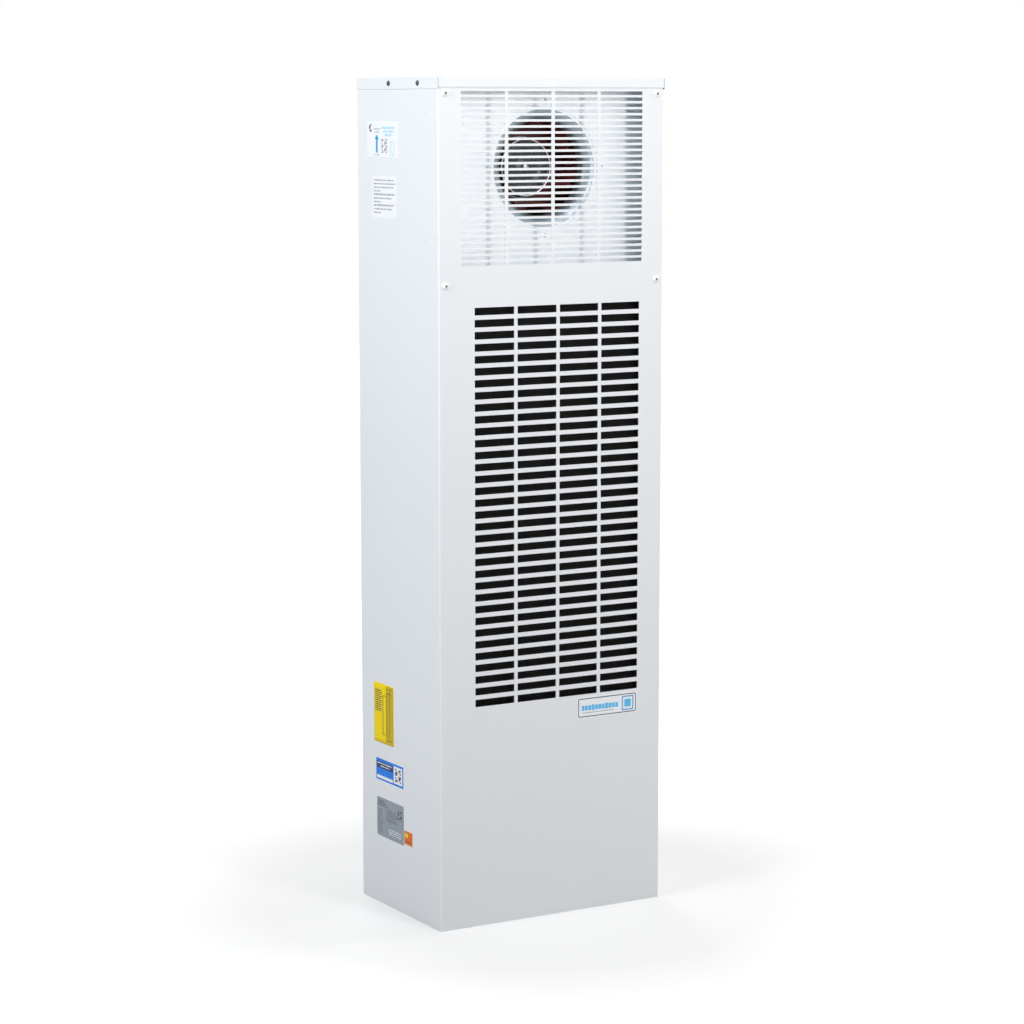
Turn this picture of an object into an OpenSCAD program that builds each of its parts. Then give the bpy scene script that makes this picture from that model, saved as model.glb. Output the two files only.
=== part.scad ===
// Side-mounted enclosure cooling unit: a tall sheet-metal housing with an ambient air circuit behind
// the front grilles and an enclosure air circuit behind the back panel.
// Millimetres. X is the width, -Y the front, +Y the mounting side, +Z up. The origin is the centre of
// the footprint, at the height that the unit stands on.

/* [Housing] */
// Width of the housing cover
body_w = 485; // [480:1:540]
// Depth of the housing cover, from its front face to its rear edge
body_d = 312; // [306:1:340]
// Height of the unit, over the top cap
body_h = 1580; // [1540:1:1700]
// Thickness of the painted sheet
panel_t = 1.5; // [1.2:0.1:1.8]
// Outside radius of the cover's front bends
bend_r = 3; // [3:0.1:4]
// Height of the top cap's side flanges
cap_side_h = 21; // [19:0.5:25]
// Height of the top cap's front flange
cap_front_h = 18; // [16:0.5:20]
// Height of the base pan's plate above the floor
base_raise = 24; // [22:0.5:30]
// How far the mounting gasket stands proud of the back panel
gasket_proud = 2; // [1.8:0.1:3]

/* [Upper grille] */
// Slots across the upper grille
upper_columns = 4; // [2:1:4]
// Rows of slots in the upper grille
upper_rows = 29; // [20:1:30]
// Length of an upper slot
upper_slot_w = 92.5; // [80:0.5:94]
// Height of an upper slot
upper_slot_h = 6.6; // [5:0.1:8]
// Pitch of the upper rows
upper_pitch = 11.05; // [10:0.05:11.4]
// Distance from the top of the unit to the first upper slot
upper_top = 25; // [23:0.5:30]

/* [Lower grille] */
// Slots across the lower grille
lower_columns = 4; // [2:1:4]
// Rows of slots in the lower grille
lower_rows = 34; // [24:1:35]
// Length of a lower slot
lower_slot_w = 84.2; // [70:0.5:90]
// Height of a lower slot
lower_slot_h = 14; // [10:0.5:16]
// Pitch of the lower rows
lower_pitch = 22.1; // [20:0.1:22.4]
// Distance from the top of the unit to the first lower slot
lower_top = 417; // [410:1:440]
// How far the lower grille and the ambient fan lie to the right of the middle
inner_shift = 11.5; // [8:0.5:14]
// Width of the bar between two columns of slots
slot_bar = 6.9; // [5:0.1:9]

/* [Ambient fan] */
// Depth of the fan plate behind the front face
fan_plate_depth = 50; // [46:0.5:54]
// Height of the ambient fan's axis below the top of the unit
fan_drop = 166; // [160:1:176]
// Radius of the inlet nozzle's mouth
mouth_r = 109; // [106:0.5:112]
// Radius of the inlet nozzle's throat
throat_r = 88; // [84:0.5:92]
// Outside radius of the ambient impeller
impeller_r = 142; // [136:1:146]
// Depth of the impeller's back plate behind the fan plate
backplate_depth = 92; // [86:1:97]
// Radius of the ambient motor's rotor
rotor_r = 55; // [50:0.5:60]

/* [Enclosure fan] */
// Height of the enclosure fan's axis below the top of the unit
rear_fan_drop = 170; // [160:1:190]
// Radius of the enclosure fan's nozzle mouth
rear_mouth_r = 88; // [85:0.5:94]
// Radius of the enclosure fan's nozzle throat
rear_throat_r = 76; // [72:0.5:78]
// Outside radius of the enclosure impeller
rear_impeller_r = 105; // [98:1:112]
// Depth of the enclosure impeller's back plate inside the back panel
rear_backplate_depth = 62; // [58:0.5:66]
// Radius of the enclosure motor's rotor
rear_rotor_r = 44; // [40:0.5:48]

/* [Coils] */
// Width of the condenser's fin block
condenser_w = 372; // [350:1:374]
// Height of the condenser's fin block
condenser_h = 762; // [740:1:770]
// Thickness of the condenser's fin block
condenser_t = 44; // [40:1:50]
// Width of the evaporator's fin block
evaporator_w = 384; // [370:1:392]
// Height of the evaporator's fin block
evaporator_h = 400; // [360:1:420]
// Thickness of the evaporator's fin block
evaporator_t = 50; // [44:1:52]
// Outside radius of the coil tubes
coil_tube_r = 4.8; // [4:0.1:5]
// Pitch of the coil tubes
coil_pitch = 25.4; // [25:0.1:28]

/* [Compressor] */
// Radius of the compressor's shell
shell_r = 62; // [56:1:66]
// Height of the compressor's shell
shell_h = 262; // [240:1:268]
// Radius of the circle on which the compressor's feet stand
foot_circle_r = 84; // [80:1:88]

/* [Mounting] */
// Distance of the mounting inserts from the housing's side edges
insert_inset = 16; // [15:0.5:18]
// Distance of the upper and lower mounting inserts from the housing's ends
insert_end = 42; // [40:1:60]
// Radius of the mounting inserts' thread, M6
insert_r = 3; // [2.5:0.5:4]
// Radius of the lifting bushes' thread, M8
lift_r = 4; // [3:0.5:5]
// Outside radius of the condensate spigot
spigot_r = 6; // [5:0.5:7]

/* [Hidden] */
$fn = 48;
eps = 0.01;
cut = 5;
fit = 0.3;
run_fit = 0.05;
plate_t = 1.2;

// Colours
painted = [0.86, 0.87, 0.87];
galvanised = [0.74, 0.77, 0.79];
zinc = [0.68, 0.69, 0.70];
copper = [0.72, 0.43, 0.28];
black = [0.08, 0.08, 0.09];
impeller_red = [0.34, 0.08, 0.06];
fin_black = [0.10, 0.10, 0.11];
fin_silver = [0.78, 0.80, 0.82];
foam_grey = [0.22, 0.23, 0.25];
label_white = [0.93, 0.94, 0.96];

// Small sizes of the housing
seam_gap = 0.8;
pan_lip = 18;
back_flange = 30;
weld_gap = 0.3;
gasket_w = 12;
gasket_edge = 28.5;
gasket_end = 52;
fan_lip = 26;
fan_bottom_drop = 394;

// Screws
m6_shank_r = 3;
m6_hole_r = 3.3;
m6_head_r = 7.2;
m6_head_h = 3.4;
m6_brim_h = 0.9;
m6_shank_l = 12;
m5_shank_r = 2.5;
m5_hole_r = 2.7;
m5_head_r = 5.2;
m5_head_h = 3.2;
m5_brim_h = 1;
m5_shank_l = 9;
m4_shank_r = 2;
m4_hole_r = 2.15;
m4_head_r = 3.8;
m4_head_h = 1.6;
m4_brim_h = 0.6;
m4_shank_l = 7;
recess_share = 0.36;
recess_depth_share = 0.6;

// Places that several pieces share
cap_over = fit + panel_t;
front_over = max(cap_over, m6_head_h);
total_d = front_over + body_d + gasket_proud;
front_y = front_over - total_d / 2;
rear_y = front_y + body_d;
inner_x = body_w / 2 - panel_t;
cover_top = body_h - panel_t;
panel_rear_in = rear_y - panel_t;

// Front screws, cap screws and rivets, from the photograph
cover_screw_inset = 15;
cover_screw_top = 29;
cover_screw_pitch = 347;
cap_screw_front = 72;
cap_screw_pitch = 112;
cap_screw_drop = 10.5;
rivet_front = 27;
rivet_top = 68;
rivet_pitch = 230;
rivet_r = 2;
rivet_head_r = 3.2;
rivet_head_h = 0.7;

// Labels
label_t = 0.3;
badge_w = 136;
badge_h = 42;
badge_r = 5;
badge_edge = 52;
badge_gap = 5;
plate_label_w = 108;
plate_label_h = 76;
plate_label_front = 144;
plate_label_z = 133;
blue_label_w = 110;
blue_label_h = 42;
blue_label_front = 145;
blue_label_z = 243;
arrow_label_w = 122;
arrow_label_h = 66;
arrow_label_front = 152;
arrow_label_drop = 146;
notice_label_w = 97;
notice_label_h = 78;
notice_label_front = 159;
notice_label_drop = 259;
small_label_w = 32;
small_label_h = 26;
small_label_front = 110;
small_label_z = 138;
tag_w = 78;
tag_h = 116;
tag_front = 183;
tag_z = 317;
tag_t = 0.9;

// Ambient fan
fan_x = inner_shift;
fan_z = body_h - fan_drop;
fan_plate_y = front_y + fan_plate_depth;
fan_hole_step = 5;
nozzle_screw_out = 15.5;
nozzle_screw_r = mouth_r + nozzle_screw_out;
fan_flange_r = nozzle_screw_r + 2 * m4_head_r;
nozzle_depth = mouth_r - throat_r + 5 * plate_t;
nozzle_overlap = 4;
impeller_gap = 2;
shroud_flare = 16;
blade_count = 7;
blade_t = 1.6;
blade_curve_share = 0.62;
blade_root_share = 0.6;
rotor_flange_w = 5;
rotor_wall = 2.5;
rotor_front_share = 0.72;
rotor_back = 20;
shaft_r = 4;
shaft_boss_r = 6;
shaft_boss_h = 2.4;
bearing_r = 11;
bearing_w = 7;
stator_gap = 1.2;
stator_flange_t = 4;
stator_clear = 3;
bracket_t = 2;
bracket_w = 64;
bracket_clear = 9;
bracket_foot = 18;

// Enclosure fan
rear_fan_z = body_h - rear_fan_drop;
rear_flange_r = rear_mouth_r + 2 * m4_head_r + plate_t;
rear_nozzle_screw_r = rear_mouth_r + m4_head_r + plate_t / 2;
rear_nozzle_depth = rear_mouth_r - rear_throat_r + plate_t;
rear_shroud_flare = 12;
rear_rotor_back = 12;
rear_bracket_w = 52;

// Partition and chamber floor
partition_depth = 190;
foam_t = 5;
floor_z = 330;
partition_y = front_y + partition_depth;
chamber_front = partition_y + panel_t + foam_t;

// Condenser
condenser_gap = 18;
condenser_x = inner_shift;
condenser_rise = 9;
condenser_top = lower_top - condenser_rise;
condenser_z = body_h - condenser_top - condenser_h;
condenser_y = front_y + condenser_gap;
fin_pitch = 5;
fin_slot = 3.4;
fin_depth = 9;
tube_fit = 0.05;
coil_rows = 2;
condenser_runs = 2 * floor((condenser_h - coil_pitch) / coil_pitch / 2);
end_plate_lip = 14;
bend_clear = 1;
header_r = 6.6;
header_stub = 8;
header_stub_r = 5.4;

// Evaporator
evaporator_drop = 438;
evaporator_z = body_h - evaporator_drop - evaporator_h;
evaporator_runs = 2 * floor((evaporator_h - coil_pitch) / coil_pitch / 2);
evaporator_clear = 4;
tilt_share = 0.75;
chamber_depth = panel_rear_in - chamber_front;
evaporator_tilt = atan((chamber_depth - evaporator_t - 2 * evaporator_clear) / evaporator_h) * tilt_share;

// Condensate tray, hose and spigot
tray_depth = 66;
tray_h = 22;
tray_gap = 8;
tray_w = evaporator_w - 2 * end_plate_lip;
tray_z = evaporator_z - tray_gap - tray_h;
hose_r = 6;
hose_bore_r = 4.2;
hose_x = tray_w / 2 - 3 * hose_r;
hose_bend = 12;
spigot_bore_r = 4;
spigot_flange_r = 11;
spigot_flange_t = 2;
spigot_floor_gap = 3;
spigot_rear = 52;
spigot_y = rear_y - spigot_rear;

// Openings of the back panel
outlet_w = 372;
outlet_h = 170;
outlet_z = 410;
service_w = 150;
service_h = 176;
service_z = 76;
service_x = -112;
service_depth = 16;
service_lip = 10;
service_screw_inset = 5;

// Compressor
compressor_x = 92;
compressor_depth = 142;
compressor_y = front_y + compressor_depth;
compressor_foot_z = base_raise;
grommet_r = 11;
grommet_h = 14;
grommet_neck_r = 6.5;
foot_t = 3;
foot_pad_r = 15;
bolt_r = 4;
bolt_gap = 0.4;
nut_r = 7;
nut_h = 5;
shell_lift = 6;
dome_share = 0.42;
cup_share = 0.7;
port_r = 5;
port_h = 14;
terminal_w = 44;
terminal_d = 34;
terminal_h = 22;
accumulator_r = 32;
accumulator_h = 150;
accumulator_gap = 9;
accumulator_lift = 62;
accumulator_neck_r = 6;
accumulator_neck_h = 16;
elbow_r = 5;
elbow_bend = 10;
strap_h = 20;

// Refrigerant lines
line_r = 4.5;
line_bend = 16;
liquid_r = 3.5;
suction_r = 6;
line_side_count = 10;
drier_r = 12;
drier_l = 86;
drier_neck_r = 5;
drier_neck_l = 12;
line_wall_gap = 14;
valve_r = 11;
valve_h = 36;
valve_rise = 24;
valve_head_r = 17;
valve_head_h = 8;
valve_neck_r = 6;
valve_neck_l = 4;
wall_hole_gap = 1;

// Control box
box_wall = 1.2;
box_d = 92;
box_w = service_w + 2 * (service_lip + fit + box_wall);
box_h = service_h + 2 * (service_lip + fit + box_wall);
box_x = service_x;
box_z = service_z - service_lip - fit - box_wall;
board_w = 96;
board_h = 120;
board_t = 1.6;
board_post = 8;
board_post_r = 3;
board_inset = 12;
capacitor_r = 17;
capacitor_h = 72;
block_w = 54;
block_h = 20;
block_d = 18;
block_poles = 6;
pole_r = 2.4;
pole_depth = 6;
connector_w = 58;
connector_h = 40;
connector_wall = 3;
connector_d = 30;
connector_rise = 118;
pin_r = 2;
pin_l = 10;
pin_count = 5;
knob_r = 15;
knob_h = 10;
knob_rise = 42;
knob_grip_count = 12;
knob_grip_r = 1.4;
knob_shaft_r = 3;
knob_pointer_w = 2;
knob_floor_gap = 1;
thermostat_w = 46;
thermostat_h = 40;
thermostat_d = 30;

// Basic shapes

// A box between two corners
module block(low, high) {
    translate(low)
        cube(high - low);
}

// A round bar along Y
module y_bar(r, y0, y1, x = 0, z = 0) {
    translate([x, y0, z])
        rotate([-90, 0, 0])
            cylinder(r = r, h = y1 - y0);
}

// A round bar along X
module x_bar(r, x0, x1, y = 0, z = 0) {
    translate([x0, y, z])
        rotate([0, 90, 0])
            cylinder(r = r, h = x1 - x0);
}

// A rectangle with round corners, centred
module round_square(w, h, r) {
    square([w - 2 * r, h], center = true);
    square([w, h - 2 * r], center = true);
    for (sx = [-1, 1])
        for (sz = [-1, 1])
            translate([sx * (w / 2 - r), sz * (h / 2 - r)])
                circle(r = r);
}

// A flanged screw along +Z: its seat is at zero, the head rises and the shank goes down
module screw(shank_r, shank_l, head_r, head_h, brim_h) {
    difference() {
        union() {
            translate([0, 0, -shank_l])
                cylinder(r = shank_r, h = shank_l + eps);
            cylinder(r = head_r, h = brim_h);
            cylinder(r1 = head_r - brim_h, r2 = shank_r, h = head_h);
        }
        translate([0, 0, head_h * (1 - recess_depth_share)])
            cylinder(r = head_r * recess_share, h = head_h, $fn = 6);
    }
}

// Puts children that point along +Z onto the front, rear, left or right side of the housing
module facing(side) {
    angles = side == "front" ? [90, 0, 0]
        : side == "rear" ? [-90, 0, 0]
        : side == "left" ? [0, -90, 0]
        : [0, 90, 0];
    rotate(angles)
        children();
}

// Points of a route with its corners rounded, and a tube that is swept along it
function unit(v) = v / norm(v);
function corner(a, b, c, r, steps) =
    let (p = b + unit(a - b) * r, q = b + unit(c - b) * r)
    [for (i = [0:steps]) let (t = i / steps) (1 - t) * (1 - t) * p + 2 * t * (1 - t) * b + t * t * q];
function route(points, r, steps = 4) =
    let (last = len(points) - 1)
    concat(
        [points[0]],
        [for (i = [1:last - 1]) each corner(points[i - 1], points[i], points[i + 1], r, steps)],
        [points[last]]
    );
function tangent(path, i) =
    let (last = len(path) - 1)
    i == 0 ? unit(path[1] - path[0])
        : i == last ? unit(path[last] - path[last - 1])
        : unit(unit(path[i + 1] - path[i]) + unit(path[i] - path[i - 1]));
function any_normal(t) = unit(cross(t, abs(t[2]) < 0.8 ? [0, 0, 1] : [1, 0, 0]));
function normals(path, i = 0, found = []) =
    i == len(path) ? found
        : let (
            t = tangent(path, i),
            n = i == 0 ? any_normal(t) : unit(found[i - 1] - (found[i - 1] * t) * t)
        )
        normals(path, i + 1, concat(found, [n]));

module swept_tube(path, r, sides = line_side_count) {
    found = normals(path);
    rings = [
        for (i = [0:len(path) - 1])
            let (t = tangent(path, i), n = found[i], b = cross(t, n))
            for (k = [0:sides - 1])
                path[i] + r * (cos(360 * k / sides) * n + sin(360 * k / sides) * b)
    ];
    last = len(path) - 1;
    walls = [
        for (i = [0:last - 1])
            for (k = [0:sides - 1])
                let (
                    a = i * sides + k,
                    b = i * sides + (k + 1) % sides
                )
                each [[a, b, a + sides], [b, b + sides, a + sides]]
    ];
    start = [for (k = [1:sides - 2]) [0, k + 1, k]];
    end = [for (k = [1:sides - 2]) [last * sides, last * sides + k, last * sides + k + 1]];
    polyhedron(rings, concat(walls, start, end));
}

// Housing

// A grid of slots through the front face, hanging from its top edge
module slot_grid(columns, rows, slot_w, slot_h, pitch, top_z, middle) {
    width = columns * slot_w + (columns - 1) * slot_bar;
    for (c = [0:columns - 1])
        for (r = [0:rows - 1])
            translate([middle - width / 2 + c * (slot_w + slot_bar), top_z - r * pitch - slot_h])
                square([slot_w, slot_h]);
}

module front_face_2d() {
    difference() {
        translate([-body_w / 2 + bend_r, 0])
            square([body_w - 2 * bend_r, cover_top]);
        slot_grid(upper_columns, upper_rows, upper_slot_w, upper_slot_h, upper_pitch,
            body_h - upper_top, 0);
        slot_grid(lower_columns, lower_rows, lower_slot_w, lower_slot_h, lower_pitch,
            body_h - lower_top, inner_shift);
        for (p = cover_screw_places())
            translate([p[0], p[2]])
                circle(r = m6_hole_r);
    }
}

// A quarter of a ring between +X and -Y: the section of a bent sheet
module bend_2d(r, t) {
    intersection() {
        difference() {
            circle(r = r);
            circle(r = max(r - t, eps));
        }
        translate([0, -r])
            square(r);
    }
}

// One side of the cover with its front bend
module cover_side_2d() {
    side_y = front_y + bend_r;
    translate([body_w / 2 - panel_t, side_y])
        square([panel_t, rear_y - side_y]);
    translate([body_w / 2 - bend_r, side_y])
        bend_2d(bend_r, panel_t);
}

function cover_screw_places() = [
    for (sx = [-1, 1])
        for (k = [0, 1])
            [sx * (body_w / 2 - cover_screw_inset), front_y,
                body_h - cover_screw_top - k * cover_screw_pitch]
];
function cap_screw_places() = [
    for (sx = [-1, 1])
        for (k = [0, 1])
            [sx * (body_w / 2 + cap_over), front_y + cap_screw_front + k * cap_screw_pitch,
                body_h - cap_screw_drop]
];
function rivet_places() = [
    for (sx = [-1, 1])
        for (k = [0, 1])
            [sx * body_w / 2, front_y + rivet_front, body_h - rivet_top - k * rivet_pitch]
];

module front_cover() color(painted) {
    translate([0, front_y + panel_t, 0])
        rotate([90, 0, 0])
            linear_extrude(panel_t)
                front_face_2d();
    for (sx = [0, 1])
        mirror([sx, 0, 0])
            difference() {
                linear_extrude(cover_top)
                    cover_side_2d();
                for (p = cap_screw_places())
                    x_bar(m5_hole_r, p[0] - cut, p[0] + cut, p[1], p[2]);
                for (p = rivet_places())
                    x_bar(rivet_r + run_fit, p[0] - cut, p[0] + cut, p[1], p[2]);
            }
}

module top_cap() color(painted)
    difference() {
        union() {
            block([-body_w / 2 - cap_over, front_y - cap_over, cover_top],
                [body_w / 2 + cap_over, rear_y, body_h]);
            for (sx = [0, 1])
                mirror([sx, 0, 0])
                    block([body_w / 2 + fit, front_y - cap_over, body_h - cap_side_h],
                        [body_w / 2 + cap_over, rear_y, body_h]);
            block([-body_w / 2 - fit + seam_gap, front_y - cap_over, body_h - cap_front_h],
                [body_w / 2 + fit - seam_gap, front_y - fit, body_h]);
        }
        for (p = cap_screw_places())
            x_bar(m5_hole_r, p[0] - cut, p[0] + cut, p[1], p[2]);
        for (p = lift_places())
            translate([p[0], p[1], cover_top - cut])
                cylinder(r = lift_bush_r + run_fit, h = 2 * cut);
    }

module cap_screws() color(zinc)
    for (p = cap_screw_places())
        translate(p)
            facing(p[0] < 0 ? "left" : "right")
                screw(m5_shank_r, m5_shank_l, m5_head_r, m5_head_h, m5_brim_h);

module cover_screws() color(painted)
    for (p = cover_screw_places())
        translate(p)
            facing("front")
                screw(m6_shank_r, m6_shank_l, m6_head_r, m6_head_h, m6_brim_h);

module side_rivets() color(painted)
    for (p = rivet_places())
        translate(p)
            facing(p[0] < 0 ? "left" : "right") {
                translate([0, 0, -panel_t - fit - plate_t])
                    cylinder(r = rivet_r, h = panel_t + fit + plate_t + eps);
                cylinder(r1 = rivet_head_r, r2 = rivet_r, h = rivet_head_h);
            }

// The pan is an inverted tray that stands on inward lips
module base_pan() color(galvanised) {
    low = [-inner_x + fit, front_y + bend_r];
    high = [inner_x - fit, rear_y];
    difference() {
        block([low[0], low[1], 0], [high[0], high[1], base_raise]);
        block([low[0] + panel_t, low[1] + panel_t, panel_t],
            [high[0] - panel_t, high[1] - panel_t, base_raise - panel_t]);
        block([low[0] + pan_lip, low[1] + pan_lip, -cut],
            [high[0] - pan_lip, high[1] - pan_lip, base_raise - panel_t]);
        for (p = foot_places())
            translate([p[0], p[1], base_raise - cut])
                cylinder(r = bolt_r + run_fit, h = 2 * cut);
        translate([hose_x, spigot_y, base_raise - cut])
            cylinder(r = spigot_r - fit + run_fit, h = 2 * cut);
    }
}

function insert_places() = [
    for (sx = [-1, 1])
        for (z = [insert_end, body_h / 2, body_h - insert_end])
            [sx * (body_w / 2 - insert_inset), rear_y, z]
];
function rear_nozzle_screws() = [
    for (k = [0:3])
        [rear_nozzle_screw_r * cos(90 * k + 45), 0, rear_fan_z + rear_nozzle_screw_r * sin(90 * k + 45)]
];
function service_screw_places() = [
    for (sx = [-1, 1])
        for (sz = [-1, 1])
            [service_x + sx * (service_w / 2 + service_screw_inset), rear_y,
                service_z + service_h / 2 + sz * (service_h / 2 + service_screw_inset)]
];

// A plate with four flanges that are welded inside its edges
module back_panel() color(galvanised)
    difference() {
        side = inner_x - fit;
        flange_rear = panel_rear_in - weld_gap;
        union() {
            block([-side, panel_rear_in, base_raise], [side, rear_y, cover_top]);
            for (sx = [0, 1])
                mirror([sx, 0, 0])
                    block([side - panel_t, rear_y - back_flange, base_raise],
                        [side, flange_rear, cover_top]);
            for (z = [base_raise, cover_top - panel_t])
                block([-side + panel_t + weld_gap, rear_y - back_flange, z],
                    [side - panel_t - weld_gap, flange_rear, z + panel_t]);
        }
        y_bar(rear_mouth_r, panel_rear_in - cut, rear_y + cut, 0, rear_fan_z);
        block([-outlet_w / 2, panel_rear_in - cut, outlet_z],
            [outlet_w / 2, rear_y + cut, outlet_z + outlet_h]);
        block([service_x - service_w / 2, panel_rear_in - cut, service_z],
            [service_x + service_w / 2, rear_y + cut, service_z + service_h]);
        for (p = insert_places())
            y_bar(insert_body_r + run_fit, p[1] - cut, p[1] + cut, p[0], p[2]);
        for (p = rear_nozzle_screws())
            y_bar(m4_hole_r, panel_rear_in - cut, rear_y + cut, p[0], p[2]);
        for (p = service_screw_places())
            y_bar(m4_hole_r, panel_rear_in - cut, rear_y + cut, p[0], p[2]);
        for (p = lift_places())
            translate([p[0], p[1], cover_top - cut])
                cylinder(r = lift_bush_r + run_fit, h = 2 * cut);
    }

module mounting_gasket() color(black)
    difference() {
        block([-body_w / 2 + gasket_edge, rear_y, gasket_end],
            [body_w / 2 - gasket_edge, rear_y + gasket_proud, body_h - gasket_end]);
        block([-body_w / 2 + gasket_edge + gasket_w, rear_y - cut, gasket_end + gasket_w],
            [body_w / 2 - gasket_edge - gasket_w, rear_y + cut, body_h - gasket_end - gasket_w]);
    }

insert_body_r = insert_r + 1.5 * panel_t;
insert_flange_r = insert_body_r + panel_t;
insert_flange_t = 0.8;
insert_l = 14;
module mounting_inserts() color(zinc)
    for (p = insert_places())
        translate(p)
            difference() {
                union() {
                    y_bar(insert_body_r, -insert_l, eps);
                    y_bar(insert_flange_r, 0, insert_flange_t);
                }
                y_bar(insert_r, -insert_l - cut, cut);
            }

// Threaded bushes for lifting eyes, let into the top cap and the back panel's top flange
lift_bush_wall = 3;
lift_bush_r = lift_r + lift_bush_wall;
lift_bush_l = 20;
lift_flange_t = 1;
lift_flange_r = lift_bush_r + 2 * panel_t;
lift_inset_share = 0.62;
lift_rear = 16;
function lift_places() = [for (sx = [-1, 1]) [sx * inner_x * lift_inset_share, rear_y - lift_rear, 0]];
module lifting_bushes() color(zinc)
    for (p = lift_places())
        translate([p[0], p[1], cover_top - panel_t])
            difference() {
                union() {
                    translate([0, 0, -lift_bush_l])
                        cylinder(r = lift_bush_r, h = lift_bush_l + 2 * panel_t);
                    translate([0, 0, -lift_flange_t])
                        cylinder(r = lift_flange_r, h = lift_flange_t);
                }
                translate([0, 0, -lift_bush_l - cut])
                    cylinder(r = lift_r, h = lift_bush_l + 2 * cut + 2 * panel_t);
            }

// Labels and plates, all of them bare

// A label on the left side, from its distance behind the front face and its lower edge
module left_label(front, low, w, h, t) {
    block([-body_w / 2 - t, front_y + front, low],
        [-body_w / 2, front_y + front + w, low + h]);
}

module front_badge() color(label_white) {
    badge_top = body_h - lower_top - (lower_rows - 1) * lower_pitch - lower_slot_h - badge_gap;
    translate([body_w / 2 - badge_edge - badge_w / 2, front_y, badge_top - badge_h / 2])
        facing("front")
            linear_extrude(label_t)
                round_square(badge_w, badge_h, badge_r);
}

module rating_plate() color([0.62, 0.65, 0.70])
    left_label(plate_label_front, plate_label_z, plate_label_w, plate_label_h, label_t);

module notice_labels() color(label_white) {
    left_label(blue_label_front, blue_label_z, blue_label_w, blue_label_h, label_t);
    left_label(arrow_label_front, body_h - arrow_label_drop, arrow_label_w, arrow_label_h, label_t);
    left_label(notice_label_front, body_h - notice_label_drop, notice_label_w, notice_label_h, label_t);
    left_label(small_label_front, small_label_z, small_label_w, small_label_h, label_t);
}

module instruction_tag() color([0.95, 0.85, 0.05])
    left_label(tag_front, tag_z, tag_w, tag_h, tag_t);

// Fans: shapes along +Z, from the plane that the nozzle's flange lies on into the unit

// Places children that point along +Z on the ambient fan's axis, behind the fan plate
module on_ambient_axis() {
    translate([fan_x, fan_plate_y + plate_t, fan_z])
        rotate([-90, 0, 0])
            children();
}

// Places children that point along +Z on the enclosure fan's axis, inside the back panel
module on_enclosure_axis() {
    translate([0, panel_rear_in, rear_fan_z])
        rotate([90, 0, 0])
            children();
}

module nozzle_ring(mouth, throat, depth, flange, screw_circle, hole_r, first_angle) {
    curve = mouth - throat;
    difference() {
        rotate_extrude($fn = 96) {
            translate([mouth, 0])
                square([flange - mouth, plate_t]);
            translate([mouth, curve])
                intersection() {
                    difference() {
                        circle(r = curve);
                        circle(r = curve - plate_t);
                    }
                    translate([-curve, -curve])
                        square(curve);
                }
            translate([throat, curve])
                square([plate_t, depth - curve]);
        }
        for (k = [0:3])
            rotate(90 * k + first_angle)
                translate([screw_circle, 0, -cut])
                    cylinder(r = hole_r, h = 2 * cut);
    }
}

// Backward-curved wheel: shroud, blades and back plate
module fan_wheel(outer, inlet, front_z, flare, back_z, hub) {
    shroud_low = front_z + flare;
    rotate_extrude($fn = 96)
        polygon([
            [inlet, front_z],
            [inlet + plate_t, front_z],
            [inlet + plate_t, front_z + nozzle_overlap],
            [outer, shroud_low - plate_t],
            [outer, shroud_low],
            [inlet, front_z + nozzle_overlap + plate_t]
        ]);
    rotate_extrude($fn = 96)
        translate([hub, back_z])
            square([outer - hub, blade_t]);
    curve_r = outer * blade_curve_share;
    intersection() {
        for (k = [0:blade_count - 1])
            rotate(360 * k / blade_count)
                translate([outer / 2, outer / 2, front_z])
                    linear_extrude(back_z - front_z + eps)
                        difference() {
                            circle(r = curve_r);
                            circle(r = curve_r - blade_t);
                            translate([-2 * outer, -2 * outer])
                                square([2 * outer, 4 * outer]);
                            translate([-2 * outer, 0])
                                square([4 * outer, 2 * outer]);
                        }
        rotate_extrude($fn = 96)
            polygon([
                [inlet + 2 * blade_t, front_z + nozzle_overlap + plate_t],
                [outer - blade_t, shroud_low - plate_t / 2],
                [outer - blade_t, back_z + eps],
                [outer * blade_root_share, back_z + eps]
            ]);
    }
}

// External rotor: a cup with a flange that carries the wheel, its shaft and a front boss
module rotor_cup(r, front_z, wheel_z, back_z, shaft_end) {
    difference() {
        union() {
            translate([0, 0, front_z])
                cylinder(r = r, h = back_z - front_z);
            translate([0, 0, wheel_z + blade_t])
                cylinder(r = r + rotor_flange_w, h = rotor_wall);
            translate([0, 0, front_z - shaft_boss_h])
                cylinder(r1 = shaft_boss_r - shaft_boss_h, r2 = shaft_boss_r, h = shaft_boss_h + eps);
        }
        translate([0, 0, front_z + rotor_wall])
            cylinder(r = r - rotor_wall, h = back_z - front_z);
    }
    translate([0, 0, front_z + rotor_wall - eps])
        cylinder(r = shaft_r, h = shaft_end - front_z - rotor_wall);
}

// Stator: a core on a bearing tube, and a flange that the bracket holds
module stator_core(r, front_z, flange_z, flange_r) {
    difference() {
        union() {
            translate([0, 0, front_z])
                cylinder(r = r, h = flange_z - front_z);
            translate([0, 0, flange_z])
                cylinder(r = flange_r, h = stator_flange_t);
        }
        translate([0, 0, front_z - cut])
            cylinder(r = bearing_r, h = flange_z - front_z + cut);
        translate([0, 0, flange_z - cut])
            cylinder(r = shaft_r + fit, h = stator_flange_t + 2 * cut);
    }
}

module bearing_pair(front_z, flange_z) {
    for (z = [front_z + plate_t, flange_z - bearing_w])
        translate([0, 0, z])
            difference() {
                cylinder(r = bearing_r, h = bearing_w);
                translate([0, 0, -cut])
                    cylinder(r = shaft_r + run_fit, h = bearing_w + 2 * cut);
            }
}

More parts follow.
